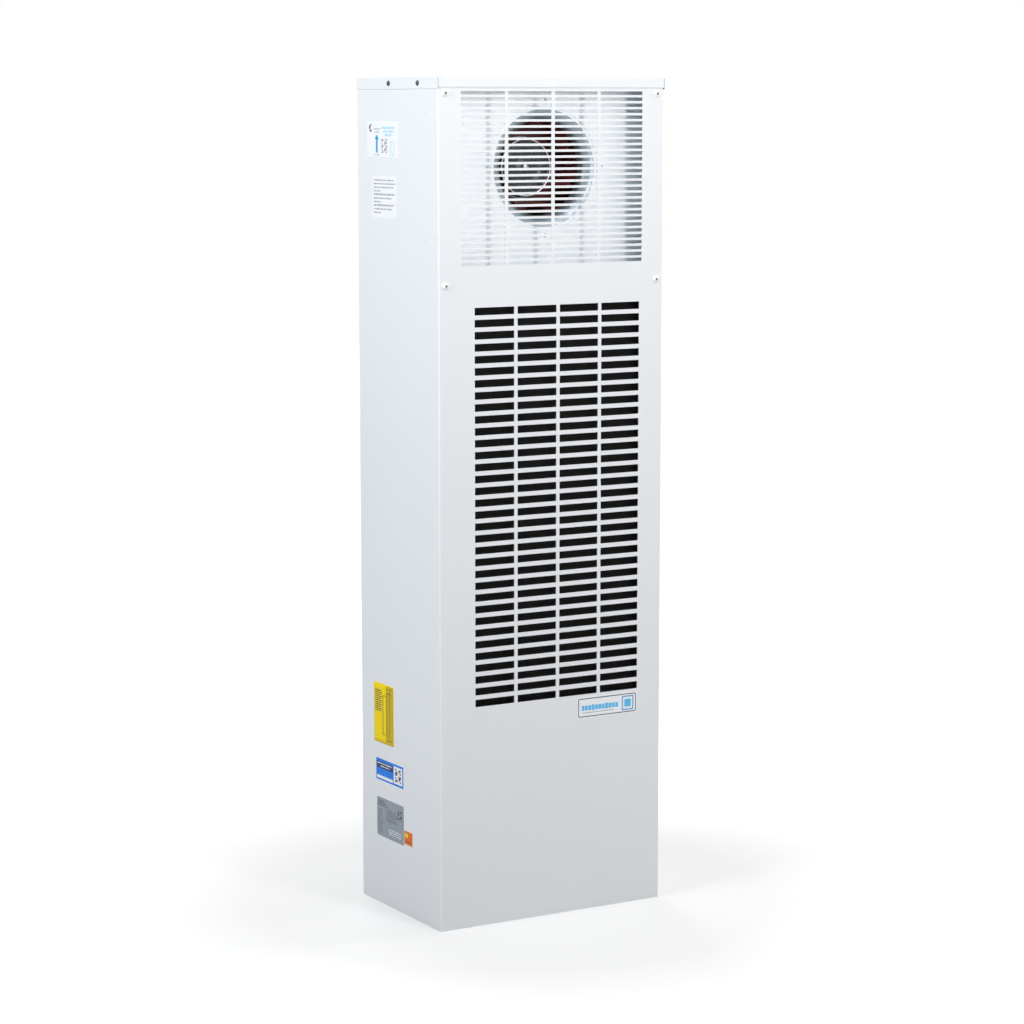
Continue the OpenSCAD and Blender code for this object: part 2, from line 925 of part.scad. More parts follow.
// A strap behind the motor, with two legs that stand on the nozzle's plate
module motor_strap(half_span, width, depth) {
    difference() {
        union() {
            block([-half_span, -width / 2, depth], [half_span, width / 2, depth + bracket_t]);
            for (sx = [0, 1])
                mirror([sx, 0, 0]) {
                    block([half_span - bracket_t, -width / 2, 0], [half_span, width / 2, depth + eps]);
                    block([half_span - bracket_t, -width / 2, 0],
                        [half_span + bracket_foot, width / 2, bracket_t]);
                }
        }
        translate([0, 0, depth - cut])
            cylinder(r = shaft_r + fit + plate_t, h = bracket_t + 2 * cut);
    }
}

// Ambient fan

shroud_inlet = throat_r + plate_t + impeller_gap;
wheel_front = nozzle_depth - nozzle_overlap;
wheel_back = backplate_depth - plate_t;
rotor_front = backplate_depth * rotor_front_share;
rotor_rear = wheel_back + blade_t + rotor_back;
stator_flange_z = rotor_rear + stator_clear;
strap_z = stator_flange_z + stator_flange_t;
strap_half = impeller_r + bracket_clear + bracket_t;

// The fan plate's side bends follow the inside of the cover's bends
fan_bend_r = bend_r - panel_t;
module fan_plate() color(galvanised)
    difference() {
        low_z = body_h - fan_bottom_drop;
        high_z = cover_top - fit;
        side = inner_x - fit;
        union() {
            block([-side, fan_plate_y, low_z], [side, fan_plate_y + plate_t, high_z]);
            for (sx = [0, 1])
                mirror([sx, 0, 0]) {
                    block([side - plate_t, front_y + bend_r, low_z], [side, fan_plate_y + eps, high_z]);
                    block([side - fan_lip, front_y + panel_t, low_z],
                        [side - fan_bend_r, front_y + panel_t + plate_t, high_z]);
                    translate([side - fan_bend_r, front_y + bend_r, low_z])
                        linear_extrude(high_z - low_z)
                            bend_2d(fan_bend_r, plate_t);
                }
            block([-side, front_y + panel_t + plate_t, low_z], [side, fan_plate_y + eps, low_z + plate_t]);
            block([-side, front_y + panel_t + plate_t, high_z - plate_t], [side, fan_plate_y + eps, high_z]);
        }
        y_bar(mouth_r + fan_hole_step, fan_plate_y - cut, fan_plate_y + cut, fan_x, fan_z);
        for (k = [0:3])
            y_bar(m4_hole_r, fan_plate_y - cut, fan_plate_y + cut,
                fan_x + nozzle_screw_r * cos(90 * k), fan_z + nozzle_screw_r * sin(90 * k));
        for (p = cover_screw_places())
            y_bar(m6_shank_r + run_fit, p[1], p[1] + 2 * cut, p[0], p[2]);
        for (p = rivet_places())
            x_bar(rivet_r + run_fit, p[0] - cut, p[0] + cut, p[1], p[2]);
    }

module inlet_nozzle() color(galvanised)
    on_ambient_axis()
        nozzle_ring(mouth_r, throat_r, nozzle_depth, fan_flange_r, nozzle_screw_r, m4_hole_r, 0);

// Screws of the inlet nozzle in front, of the enclosure nozzle and the service tray behind
module small_screws() color(zinc) {
    for (k = [0:3])
        translate([fan_x + nozzle_screw_r * cos(90 * k), fan_plate_y, fan_z + nozzle_screw_r * sin(90 * k)])
            facing("front")
                screw(m4_shank_r, m4_shank_l, m4_head_r, m4_head_h, m4_brim_h);
    for (p = concat(rear_nozzle_screws(), service_screw_places()))
        translate([p[0], rear_y, p[2]])
            facing("rear")
                screw(m4_shank_r, m4_shank_l, m4_head_r, m4_head_h, m4_brim_h);
}

module ambient_motor_bracket() color(galvanised)
    on_ambient_axis()
        motor_strap(strap_half, bracket_w, strap_z);

module ambient_motor_stator() color(zinc)
    on_ambient_axis()
        stator_core(rotor_r - rotor_wall - stator_gap, rotor_front + rotor_wall + stator_gap,
            stator_flange_z, rotor_r);

module ambient_motor_bearings() color(zinc)
    on_ambient_axis()
        bearing_pair(rotor_front + rotor_wall + stator_gap, stator_flange_z);

module ambient_motor_rotor() color(black)
    on_ambient_axis()
        rotor_cup(rotor_r, rotor_front, wheel_back, rotor_rear, stator_flange_z);

module ambient_impeller() color(impeller_red)
    on_ambient_axis()
        fan_wheel(impeller_r, shroud_inlet, wheel_front, shroud_flare, wheel_back, rotor_r + run_fit);

// Walls inside the unit

module partition_wall() color(galvanised)
    difference() {
        block([-inner_x + fit, partition_y, floor_z], [inner_x - fit, partition_y + panel_t, cover_top]);
        for (p = wall_line_places())
            y_bar(p[3] + wall_hole_gap, partition_y - cut, partition_y + 2 * cut, p[0], p[2]);
    }

module partition_foam() color(foam_grey)
    difference() {
        block([-inner_x + fit, partition_y + panel_t, floor_z + panel_t],
            [inner_x - fit, chamber_front, cover_top]);
        for (p = wall_line_places())
            y_bar(p[3] + wall_hole_gap, partition_y - cut, chamber_front + cut, p[0], p[2]);
    }

module chamber_floor() color(galvanised)
    difference() {
        block([-inner_x + fit + panel_t + fit, partition_y + panel_t, floor_z],
            [inner_x - fit - panel_t - fit, panel_rear_in, floor_z + panel_t]);
        translate([hose_x, spigot_y, floor_z - cut])
            cylinder(r = hose_r + fit, h = 2 * cut);
    }

// Enclosure fan

rear_shroud_inlet = rear_throat_r + plate_t + impeller_gap;
rear_wheel_front = rear_nozzle_depth - nozzle_overlap;
rear_rotor_front = rear_backplate_depth * rotor_front_share;
rear_rotor_rear = rear_backplate_depth + blade_t + rear_rotor_back;
rear_stator_flange_z = rear_rotor_rear + stator_clear;
rear_strap_z = rear_stator_flange_z + stator_flange_t;
rear_strap_half = rear_impeller_r + bracket_clear + bracket_t;

module enclosure_nozzle() color(galvanised)
    on_enclosure_axis()
        nozzle_ring(rear_mouth_r, rear_throat_r, rear_nozzle_depth, rear_flange_r,
            rear_nozzle_screw_r, m4_hole_r, 45);

module enclosure_motor_bracket() color(galvanised)
    on_enclosure_axis()
        motor_strap(rear_strap_half, rear_bracket_w, rear_strap_z);

module enclosure_motor_stator() color(zinc)
    on_enclosure_axis()
        stator_core(rear_rotor_r - rotor_wall - stator_gap, rear_rotor_front + rotor_wall + stator_gap,
            rear_stator_flange_z, rear_rotor_r);

module enclosure_motor_bearings() color(zinc)
    on_enclosure_axis()
        bearing_pair(rear_rotor_front + rotor_wall + stator_gap, rear_stator_flange_z);

module enclosure_motor_rotor() color(black)
    on_enclosure_axis()
        rotor_cup(rear_rotor_r, rear_rotor_front, rear_backplate_depth, rear_rotor_rear,
            rear_stator_flange_z);

module enclosure_impeller() color(black)
    on_enclosure_axis()
        fan_wheel(rear_impeller_r, rear_shroud_inlet, rear_wheel_front, rear_shroud_flare,
            rear_backplate_depth, rear_rotor_r + run_fit);

// Coils: a fin block with its tubes along X, centred on X and standing on z = 0, front face at y = 0

function coil_run_places(thick, runs) = [
    for (row = [0:coil_rows - 1])
        for (k = [0:runs - 1])
            [coil_row_y(thick, row), coil_pitch * (k + 1)]
];

module fin_block(w, h, thick, runs) {
    fins = floor(w / fin_pitch);
    first = -(fins - 1) * fin_pitch / 2;
    difference() {
        block([-w / 2, 0, 0], [w / 2, thick, h]);
        for (k = [0:fins - 1])
            block([first + k * fin_pitch - fin_slot / 2, -cut, -cut],
                [first + k * fin_pitch + fin_slot / 2, fin_depth - 2 * coil_tube_r, h + cut]);
        for (p = coil_run_places(thick, runs))
            x_bar(coil_tube_r + tube_fit, -w, w, p[0], p[1]);
    }
}

// One row of tube runs with return bends that join neighbours, left and right in turn
module tube_serpentine(w, thick, runs, row) {
    y = coil_row_y(thick, row);
    reach = w / 2 + panel_t + bend_clear;
    for (k = [0:runs - 1]) {
        free_end = k == 0 || k == runs - 1;
        x_bar(coil_tube_r, free_end ? -reach - header_r : -reach, reach, y, coil_pitch * (k + 1));
    }
    for (k = [0:runs - 2]) {
        right = k % 2 == 0;
        translate([right ? reach : -reach, y, coil_pitch * (k + 1.5)])
            rotate([90, 0, 0])
                rotate(right ? -90 : 90)
                    rotate_extrude(angle = 180)
                        translate([coil_pitch / 2, 0])
                            circle(r = coil_tube_r);
    }
}

// Depths of the rows of tubes in a coil
function coil_row_y(thick, row) = thick - (row + 1) * (thick - fin_depth) / (coil_rows + 1);

// Two end sheets with holes for the tubes
module coil_ends(w, h, thick, runs, front, back) {
    for (sx = [0, 1])
        mirror([sx, 0, 0])
            difference() {
                block([w / 2, -front, 0], [w / 2 + panel_t, thick + back, h]);
                for (p = coil_run_places(thick, runs))
                    x_bar(coil_tube_r + tube_fit, w / 2 - cut, w / 2 + cut, p[0], p[1]);
            }
}

module at_condenser() {
    translate([condenser_x, condenser_y, condenser_z])
        children();
}

module condenser_fins() color(fin_black)
    at_condenser()
        fin_block(condenser_w, condenser_h, condenser_t, condenser_runs);

// The end sheets reach forward to lips that lie on the inside of the front face
module condenser_end_plates() color(galvanised)
    at_condenser() {
        reach = condenser_gap - panel_t;
        coil_ends(condenser_w, condenser_h, condenser_t, condenser_runs, reach, 0);
        for (sx = [0, 1])
            mirror([sx, 0, 0])
                block([condenser_w / 2 + panel_t - eps, -reach, 0],
                    [condenser_w / 2 + panel_t + end_plate_lip, -reach + panel_t, condenser_h]);
    }

// Both rows with headers at the left ends of their highest and lowest runs
module condenser_tubes() color(copper) {
    at_condenser()
        for (row = [0:coil_rows - 1])
            tube_serpentine(condenser_w, condenser_t, condenser_runs, row);
    for (z = [condenser_low_z, condenser_high_z]) {
        y_bar(header_r, condenser_front_row_y - header_r, condenser_row_y + header_r, coil_left, z);
        x_bar(header_stub_r, coil_left - header_stub, coil_left, condenser_row_y, z);
    }
}

// The evaporator leans from the partition at its foot to the back panel at its head
module at_evaporator() {
    translate([0, chamber_front + evaporator_clear, evaporator_z])
        rotate([-evaporator_tilt, 0, 0])
            children();
}

module evaporator_fins() color(fin_silver)
    at_evaporator()
        fin_block(evaporator_w, evaporator_h, evaporator_t, evaporator_runs);

// Both rows with headers that point to the partition
module evaporator_tubes() color(copper) {
    at_evaporator()
        for (row = [0:coil_rows - 1])
            tube_serpentine(evaporator_w, evaporator_t, evaporator_runs, row);
    for (run = [1, evaporator_runs]) {
        end = evaporator_point(coil_row_y(evaporator_t, 0), run);
        y_bar(header_r, header_front_y, end[0] + header_r, line_x, evaporator_header_z(run));
    }
}

// A tube's place in depth and height, in the leaning coil
function evaporator_point(y, run) = [
    chamber_front + evaporator_clear + y * cos(evaporator_tilt) + run * coil_pitch * sin(evaporator_tilt),
    evaporator_z - y * sin(evaporator_tilt) + run * coil_pitch * cos(evaporator_tilt)
];
function evaporator_header_z(run) =
    (evaporator_point(coil_row_y(evaporator_t, 0), run)[1]
        + evaporator_point(coil_row_y(evaporator_t, coil_rows - 1), run)[1]) / 2;
header_front_y = chamber_front + evaporator_clear / 2;

// Upright side sheets that fill the chamber's depth and carry the leaning coil and the tray
module evaporator_end_plates() color(galvanised)
    for (sx = [0, 1])
        mirror([sx, 0, 0])
            difference() {
                block([evaporator_w / 2, chamber_front, tray_z],
                    [evaporator_w / 2 + panel_t, panel_rear_in, evaporator_z + evaporator_h]);
                at_evaporator()
                    for (p = coil_run_places(evaporator_t, evaporator_runs))
                        x_bar(coil_tube_r + tube_fit, evaporator_w / 2 - cut, evaporator_w / 2 + cut,
                            p[0], p[1]);
            }

// Drain: a tray under the coil, a hose, and a spigot in the recess below the base pan

module condensate_tray() color(galvanised)
    difference() {
        block([-evaporator_w / 2, chamber_front, tray_z], [evaporator_w / 2, chamber_front + tray_depth,
            tray_z + tray_h]);
        block([-evaporator_w / 2 + panel_t, chamber_front + panel_t, tray_z + panel_t],
            [evaporator_w / 2 - panel_t, chamber_front + tray_depth - panel_t, tray_z + tray_h + cut]);
        translate([hose_x, tray_outlet_y, tray_z - cut])
            cylinder(r = hose_bore_r, h = 2 * cut);
    }

tray_outlet_y = chamber_front + tray_depth / 2;
hose_turn_z = (tray_z + floor_z) / 2;
hose_end_z = base_raise + spigot_flange_t;
module drain_hose() color(foam_grey)
    swept_tube(
        route([
            [hose_x, tray_outlet_y, tray_z],
            [hose_x, tray_outlet_y, hose_turn_z + hose_r],
            [hose_x, spigot_y, hose_turn_z - hose_r],
            [hose_x, spigot_y, hose_end_z]
        ], hose_bend),
        hose_r
    );

module drain_spigot() color(black)
    translate([hose_x, spigot_y, 0])
        difference() {
            union() {
                translate([0, 0, spigot_floor_gap])
                    cylinder(r = spigot_r, h = base_raise - panel_t - spigot_floor_gap);
                translate([0, 0, spigot_floor_gap])
                    cylinder(r = spigot_r - fit, h = base_raise - spigot_floor_gap + eps);
                translate([0, 0, base_raise])
                    cylinder(r = spigot_flange_r, h = spigot_flange_t);
            }
            translate([0, 0, -cut])
                cylinder(r = spigot_bore_r, h = base_raise + spigot_flange_t + 2 * cut);
        }

// Compressor

shell_z = compressor_foot_z + grommet_h + foot_t + shell_lift;
foot_z = compressor_foot_z + grommet_h;
dome_h = shell_r * dome_share;
function foot_places() = [
    for (k = [0:2])
        [compressor_x + foot_circle_r * cos(120 * k + 90), compressor_y + foot_circle_r * sin(120 * k + 90)]
];
accumulator_x = compressor_x - shell_r - accumulator_gap - accumulator_r;
accumulator_z = shell_z + accumulator_lift;

// A domed vessel along Z: a straight wall with flattened domes of a stated height
module vessel(r, h, dome) {
    steps = 8;
    rotate_extrude()
        polygon(concat(
            [[0, 0]],
            [for (k = [1:steps]) [r * sin(90 * k / steps), dome * (1 - cos(90 * k / steps))]],
            [for (k = [steps:-1:1]) [r * sin(90 * k / steps), h - dome * (1 - cos(90 * k / steps))]],
            [[0, h]]
        ));
}

module compressor_shell() color(black)
    translate([compressor_x, compressor_y, shell_z]) {
        vessel(shell_r, shell_h - port_h, dome_h);
        translate([0, -shell_r / 2, shell_h - port_h - dome_h])
            cylinder(r = port_r, h = port_h + dome_h);
    }

// A three-armed foot plate under the shell
module compressor_base() color(black)
    difference() {
        union() {
            translate([compressor_x, compressor_y, foot_z])
                cylinder(r = shell_r, h = foot_t);
            for (p = foot_places())
                translate([0, 0, foot_z])
                    linear_extrude(foot_t)
                        hull() {
                            translate([compressor_x, compressor_y])
                                circle(r = shell_r / 2, $fn = 32);
                            translate(p)
                                circle(r = foot_pad_r, $fn = 32);
                        }
            translate([compressor_x, compressor_y, foot_z])
                cylinder(r = shell_r * cup_share, h = foot_t + shell_lift + dome_h * cup_share);
        }
        translate([compressor_x, compressor_y, shell_z])
            vessel(shell_r, shell_h, dome_h);
        for (p = foot_places())
            translate([p[0], p[1], foot_z - cut])
                cylinder(r = grommet_neck_r + run_fit, h = foot_t + 2 * cut);
    }

// Rubber grommets: a foot, and a neck through the foot plate
module compressor_grommets() color(foam_grey)
    for (p = foot_places())
        translate([p[0], p[1], compressor_foot_z])
            difference() {
                union() {
                    cylinder(r = grommet_r, h = grommet_h);
                    cylinder(r = grommet_neck_r, h = grommet_h + foot_t + fit);
                }
                translate([0, 0, -cut])
                    cylinder(r = bolt_r + bolt_gap, h = grommet_h + foot_t + 3 * cut);
            }

module compressor_bolts() color(zinc)
    for (p = foot_places())
        translate([p[0], p[1], 0]) {
            bolt_top = compressor_foot_z + grommet_h + foot_t + fit;
            translate([0, 0, base_raise - panel_t - nut_h])
                cylinder(r = nut_r, h = nut_h, $fn = 6);
            translate([0, 0, base_raise - panel_t - eps])
                cylinder(r = bolt_r, h = bolt_top - base_raise + panel_t + 2 * eps);
            translate([0, 0, bolt_top])
                cylinder(r = nut_r, h = nut_h, $fn = 6);
        }

module compressor_terminal_cover() color(black) {
    low_z = shell_z + shell_h / 2;
    difference() {
        block([compressor_x - terminal_w / 2, compressor_y - shell_r - terminal_d / 2, low_z],
            [compressor_x + terminal_w / 2, compressor_y - shell_r + terminal_d / 2, low_z + terminal_w]);
        translate([compressor_x, compressor_y, low_z - cut])
            cylinder(r = shell_r + run_fit, h = terminal_w + 2 * cut);
    }
}

module suction_accumulator() color(black) {
    translate([accumulator_x, compressor_y, accumulator_z]) {
        vessel(accumulator_r, accumulator_h, accumulator_r * dome_share);
        translate([0, 0, accumulator_h - accumulator_neck_h])
            cylinder(r = accumulator_neck_r, h = 2 * accumulator_neck_h);
    }
    // Elbow below the accumulator, into the shell
    translate([accumulator_x, compressor_y, accumulator_z - accumulator_r / 2]) {
        cylinder(r = elbow_r, h = accumulator_r);
        translate([elbow_bend, 0, 0])
            rotate([90, 0, 0])
                rotate(180)
                    rotate_extrude(angle = 90)
                        translate([elbow_bend, 0])
                            circle(r = elbow_r);
        x_bar(elbow_r, elbow_bend, compressor_x - shell_r - run_fit - accumulator_x, 0, -elbow_bend);
    }
    // Strap that ties the accumulator to the shell
    difference() {
        block([accumulator_x, compressor_y - strap_h / 2, accumulator_z + accumulator_h / 2],
            [compressor_x, compressor_y + strap_h / 2, accumulator_z + accumulator_h / 2 + strap_h]);
        translate([compressor_x, compressor_y, accumulator_z])
            cylinder(r = shell_r + run_fit, h = accumulator_h);
    }
}

// Refrigerant lines

// Where the liquid and suction lines pass the partition: x, y, z and the line's radius
line_x = -evaporator_w / 2 - panel_t - bend_clear - header_r;
function wall_line_places() = [
    [drier_x + (line_x - drier_x) * wall_share, partition_y, evaporator_header_z(1), liquid_r],
    [line_x, partition_y, evaporator_header_z(evaporator_runs), suction_r]
];

coil_left = condenser_x - condenser_w / 2 - panel_t - bend_clear - header_r;
condenser_row_y = condenser_y + coil_row_y(condenser_t, 0);
condenser_front_row_y = condenser_y + coil_row_y(condenser_t, coil_rows - 1);
condenser_high_z = condenser_z + coil_pitch * condenser_runs;
condenser_low_z = condenser_z + coil_pitch;
riser_x = -inner_x + line_wall_gap;
lines_y = partition_y - line_wall_gap;

module discharge_line() color(copper) {
    top_z = shell_z + shell_h + 2 * line_bend;
    swept_tube(
        route([
            [compressor_x, compressor_y - shell_r / 2, shell_z + shell_h],
            [compressor_x, compressor_y - shell_r / 2, top_z],
            [riser_x, compressor_y - shell_r / 2, top_z],
            [riser_x, compressor_y - shell_r / 2, condenser_high_z],
            [riser_x, condenser_row_y, condenser_high_z],
            [coil_left - header_stub, condenser_row_y, condenser_high_z]
        ], line_bend),
        line_r
    );
}

drier_x = coil_left - header_stub - line_bend;
drier_y = condenser_row_y + 2 * line_bend;
drier_z = condenser_low_z + 2 * line_bend;
wall_share = (partition_y - drier_y) / (header_front_y - drier_y);
module filter_drier() color(copper)
    translate([drier_x, drier_y, drier_z])
        rotate_extrude()
            polygon([
                [0, 0], [drier_neck_r, 0], [drier_neck_r, drier_neck_l],
                [drier_r, 2 * drier_neck_l], [drier_r, drier_l - 2 * drier_neck_l],
                [drier_neck_r, drier_l - drier_neck_l], [drier_neck_r, drier_l], [0, drier_l]
            ]);

// Valve body on the liquid line, with its head to the left
valve_z = drier_z + drier_l + valve_rise;
module expansion_valve() color([0.72, 0.60, 0.30])
    translate([drier_x, drier_y, valve_z]) {
        cylinder(r = valve_r, h = valve_h);
        head_x = -valve_r - valve_neck_l;
        x_bar(valve_neck_r, head_x, 0, 0, valve_h / 2);
        x_bar(valve_head_r, head_x - valve_head_h, head_x, 0, valve_h / 2);
    }

// From the condenser's lowest run to the drier, on to the valve, and on to the evaporator
module liquid_line() color(copper) {
    p = wall_line_places()[0];
    swept_tube(
        route([
            [coil_left - header_stub, condenser_row_y, condenser_low_z],
            [drier_x, condenser_row_y, condenser_low_z],
            [drier_x, drier_y, condenser_low_z],
            [drier_x, drier_y, drier_z]
        ], line_bend / 2),
        liquid_r
    );
    swept_tube([[drier_x, drier_y, drier_z + drier_l], [drier_x, drier_y, valve_z]], liquid_r);
    swept_tube(
        route([
            [drier_x, drier_y, valve_z + valve_h],
            [drier_x, drier_y, p[2]],
            [line_x, header_front_y, p[2]]
        ], line_bend / 2),
        liquid_r
    );
}

module suction_line() color(copper) {
    p = wall_line_places()[1];
    turn_z = floor_z - line_bend;
    swept_tube(
        route([
            [line_x, header_front_y, p[2]],
            [line_x, lines_y, p[2]],
            [riser_x, lines_y, p[2]],
            [riser_x, lines_y, turn_z],
            [accumulator_x, compressor_y, turn_z],
            [accumulator_x, compressor_y, accumulator_z + accumulator_h + accumulator_neck_h]
        ], line_bend / 2),
        suction_r
    );
}

// Controls, in a box behind a recessed tray in the back panel

tray_floor_y = panel_rear_in - service_depth;
box_front = tray_floor_y - plate_t - box_d;

module service_tray() color(galvanised)
    difference() {
        union() {
            block([service_x - service_w / 2 - service_lip, panel_rear_in - plate_t, service_z - service_lip],
                [service_x + service_w / 2 + service_lip, panel_rear_in,
                    service_z + service_h + service_lip]);
            block([service_x - service_w / 2, tray_floor_y - plate_t, service_z],
                [service_x + service_w / 2, panel_rear_in, service_z + service_h]);
        }
        block([service_x - service_w / 2 + plate_t, tray_floor_y, service_z + plate_t],
            [service_x + service_w / 2 - plate_t, panel_rear_in + cut, service_z + service_h - plate_t]);
        block([service_x - connector_w / 2, tray_floor_y - cut, connector_z - connector_h / 2],
            [service_x + connector_w / 2, tray_floor_y + eps, connector_z + connector_h / 2]);
        y_bar(knob_shaft_r + fit, tray_floor_y - cut, tray_floor_y + cut, service_x, service_z + knob_rise);
        for (p = service_screw_places())
            y_bar(m4_hole_r, panel_rear_in - cut, rear_y + cut, p[0], p[2]);
    }

// A box behind the tray, open to the rear, whose rim lies on the back panel
module control_box() color(galvanised)
    difference() {
        block([box_x - box_w / 2, box_front, box_z], [box_x + box_w / 2, panel_rear_in, box_z + box_h]);
        block([box_x - box_w / 2 + box_wall, box_front + box_wall, box_z + box_wall],
            [box_x + box_w / 2 - box_wall, rear_y, box_z + box_h - box_wall]);
    }

module control_board() color([0.10, 0.36, 0.20]) {
    low = [box_x - box_w / 2 + box_wall + board_inset, box_z + box_h - box_wall - board_inset - board_h];
    board_y = box_front + box_wall + board_post;
    block([low[0], board_y, low[1]], [low[0] + board_w, board_y + board_t, low[1] + board_h]);
    for (sx = [0, 1])
        for (sz = [0, 1])
            y_bar(board_post_r, box_front + box_wall, board_y + eps,
                low[0] + board_post_r + sx * (board_w - 2 * board_post_r),
                low[1] + board_post_r + sz * (board_h - 2 * board_post_r));
}

module run_capacitor() color(fin_silver)
    translate([box_x + box_w / 2 - box_wall - capacitor_r - fit, box_front + box_wall + capacitor_r + fit,
            box_z + box_wall])
        cylinder(r = capacitor_r, h = capacitor_h);

module terminal_block() color([0.80, 0.80, 0.76])
    difference() {
        low = [box_x - box_w / 2 + box_wall + board_inset, box_front + box_wall, box_z + box_wall + board_inset];
        block(low, low + [block_w, block_d, block_h]);
        for (k = [0:block_poles - 1])
            y_bar(pole_r, low[1] + block_d - pole_depth, low[1] + block_d + cut,
                low[0] + block_w * (k + 0.5) / block_poles, low[2] + block_h / 2);
    }

// A shrouded socket that the power plug pushes into
connector_z = service_z + connector_rise;
connector_back = panel_rear_in - plate_t;
function pin_x(k) =
    service_x + (k + 0.5 - pin_count / 2) * (connector_w - 2 * connector_wall) / pin_count;
module power_connector() color(black) {
    half_w = connector_w / 2;
    half_h = connector_h / 2;
    floor_y = connector_back - connector_d;
    difference() {
        block([service_x - half_w, floor_y, connector_z - half_h],
            [service_x + half_w, connector_back, connector_z + half_h]);
        block([service_x - half_w + connector_wall, floor_y + connector_wall,
                connector_z - half_h + connector_wall],
            [service_x + half_w - connector_wall, connector_back + cut,
                connector_z + half_h - connector_wall]);
        for (k = [0:pin_count - 1])
            y_bar(pin_r, floor_y - cut, floor_y + 2 * connector_wall, pin_x(k), connector_z);
    }
}

module connector_pins() color(zinc)
    for (k = [0:pin_count - 1])
        y_bar(pin_r, connector_back - connector_d - pin_l / 2,
            connector_back - connector_d + connector_wall + pin_l, pin_x(k), connector_z);

module thermostat_body() color(fin_black)
    difference() {
        z = service_z + knob_rise;
        block([service_x - thermostat_w / 2, tray_floor_y - plate_t - thermostat_d, z - thermostat_h / 2],
            [service_x + thermostat_w / 2, tray_floor_y - plate_t, z + thermostat_h / 2]);
        y_bar(knob_shaft_r + run_fit, tray_floor_y - thermostat_d / 2, tray_floor_y + cut, service_x, z);
    }

module setpoint_knob() color(black) {
    z = service_z + knob_rise;
    low = tray_floor_y + knob_floor_gap;
    difference() {
        y_bar(knob_r, low, low + knob_h, service_x, z);
        for (k = [0:knob_grip_count - 1])
            y_bar(knob_grip_r, low - cut, low + knob_h + cut,
                service_x + knob_r * cos(360 * k / knob_grip_count),
                z + knob_r * sin(360 * k / knob_grip_count));
        block([service_x - knob_pointer_w / 2, low + knob_h - knob_pointer_w / 2, z + knob_r / 3],
            [service_x + knob_pointer_w / 2, low + knob_h + cut, z + knob_r]);
    }
    y_bar(knob_shaft_r, tray_floor_y - thermostat_d / 2 + run_fit, low + eps, service_x, z);
}

front_cover();
top_cap();
cap_screws();
cover_screws();
side_rivets();
base_pan();
back_panel();
mounting_gasket();
mounting_inserts();
lifting_bushes();
front_badge();
rating_plate();
notice_labels();
instruction_tag();
fan_plate();
inlet_nozzle();
small_screws();
ambient_motor_bracket();
ambient_motor_stator();
ambient_motor_bearings();
ambient_motor_rotor();
ambient_impeller();
partition_wall();
partition_foam();
chamber_floor();
enclosure_nozzle();
enclosure_motor_bracket();
enclosure_motor_stator();
enclosure_motor_bearings();
enclosure_motor_rotor();
enclosure_impeller();
condenser_fins();
condenser_end_plates();
condenser_tubes();
evaporator_fins();
evaporator_end_plates();
evaporator_tubes();
condensate_tray();
drain_hose();
drain_spigot();
compressor_shell();
compressor_base();
compressor_grommets();
compressor_bolts();
compressor_terminal_cover();
suction_accumulator();
discharge_line();
liquid_line();
suction_line();
filter_drier();
expansion_valve();
control_box();
control_board();
run_capacitor();
terminal_block();
service_tray();
power_connector();
connector_pins();
thermostat_body();
setpoint_knob();
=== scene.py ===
import math

import bmesh
import bpy
from mathutils import Matrix, Vector


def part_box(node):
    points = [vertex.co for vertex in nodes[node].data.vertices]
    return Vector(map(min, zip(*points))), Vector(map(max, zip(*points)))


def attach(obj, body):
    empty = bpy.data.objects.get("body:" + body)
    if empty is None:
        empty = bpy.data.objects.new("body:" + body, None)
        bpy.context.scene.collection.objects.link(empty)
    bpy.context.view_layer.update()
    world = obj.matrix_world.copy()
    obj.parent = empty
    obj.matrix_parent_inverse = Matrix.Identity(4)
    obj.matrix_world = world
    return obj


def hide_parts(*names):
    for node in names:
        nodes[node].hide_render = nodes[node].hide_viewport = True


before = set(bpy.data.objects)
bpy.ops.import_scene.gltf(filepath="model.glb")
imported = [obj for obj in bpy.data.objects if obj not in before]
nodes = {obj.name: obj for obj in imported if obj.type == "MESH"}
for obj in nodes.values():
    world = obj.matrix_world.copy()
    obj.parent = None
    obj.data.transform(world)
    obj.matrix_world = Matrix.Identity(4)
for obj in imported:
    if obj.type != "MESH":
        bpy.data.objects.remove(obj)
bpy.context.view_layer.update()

MM = 0.001
UP = Vector((0, 0, 1))
FRONT = Vector((0, -1, 0))
REAR = Vector((0, 1, 0))
LEFT = Vector((-1, 0, 0))
RIGHT = Vector((1, 0, 0))


# Camera, at the photograph's viewing angle

SENSOR = 36                  # mm
PICTURE = 1024               # pixels on a side
FOCAL_LENGTH = 2892.802      # pixels, solved from the housing's edges with the place and turn
CAMERA_PLACE = (-2.7822, -4.7442, 1.5235)
CAMERA_TURN = (82.06, 0.021, -30.418)


def make_camera():
    data = bpy.data.cameras.new("camera")
    data.sensor_width = SENSOR
    data.lens = SENSOR * FOCAL_LENGTH / PICTURE
    camera = bpy.data.objects.new("camera", data)
    bpy.context.scene.collection.objects.link(camera)
    camera.location = CAMERA_PLACE
    camera.rotation_euler = [math.radians(angle) for angle in CAMERA_TURN]
    bpy.context.scene.camera = camera


# Node materials

NOISE_LOW, NOISE_HIGH = 0.3, 0.7      # the part of a noise's range that is used
SIDE_SHADE_FROM, SIDE_SHADE_FULL = 0.205, 0.225   # m from the middle, where the painted shade on the side walls' inner faces sets in
# Colours of that painted shade: on the powder coat, and on the zinc
PAINTED_SHADE_ON_COAT = (0.075, 0.09, 0.10)
PAINTED_SHADE_ON_ZINC = (0.26, 0.33, 0.38)


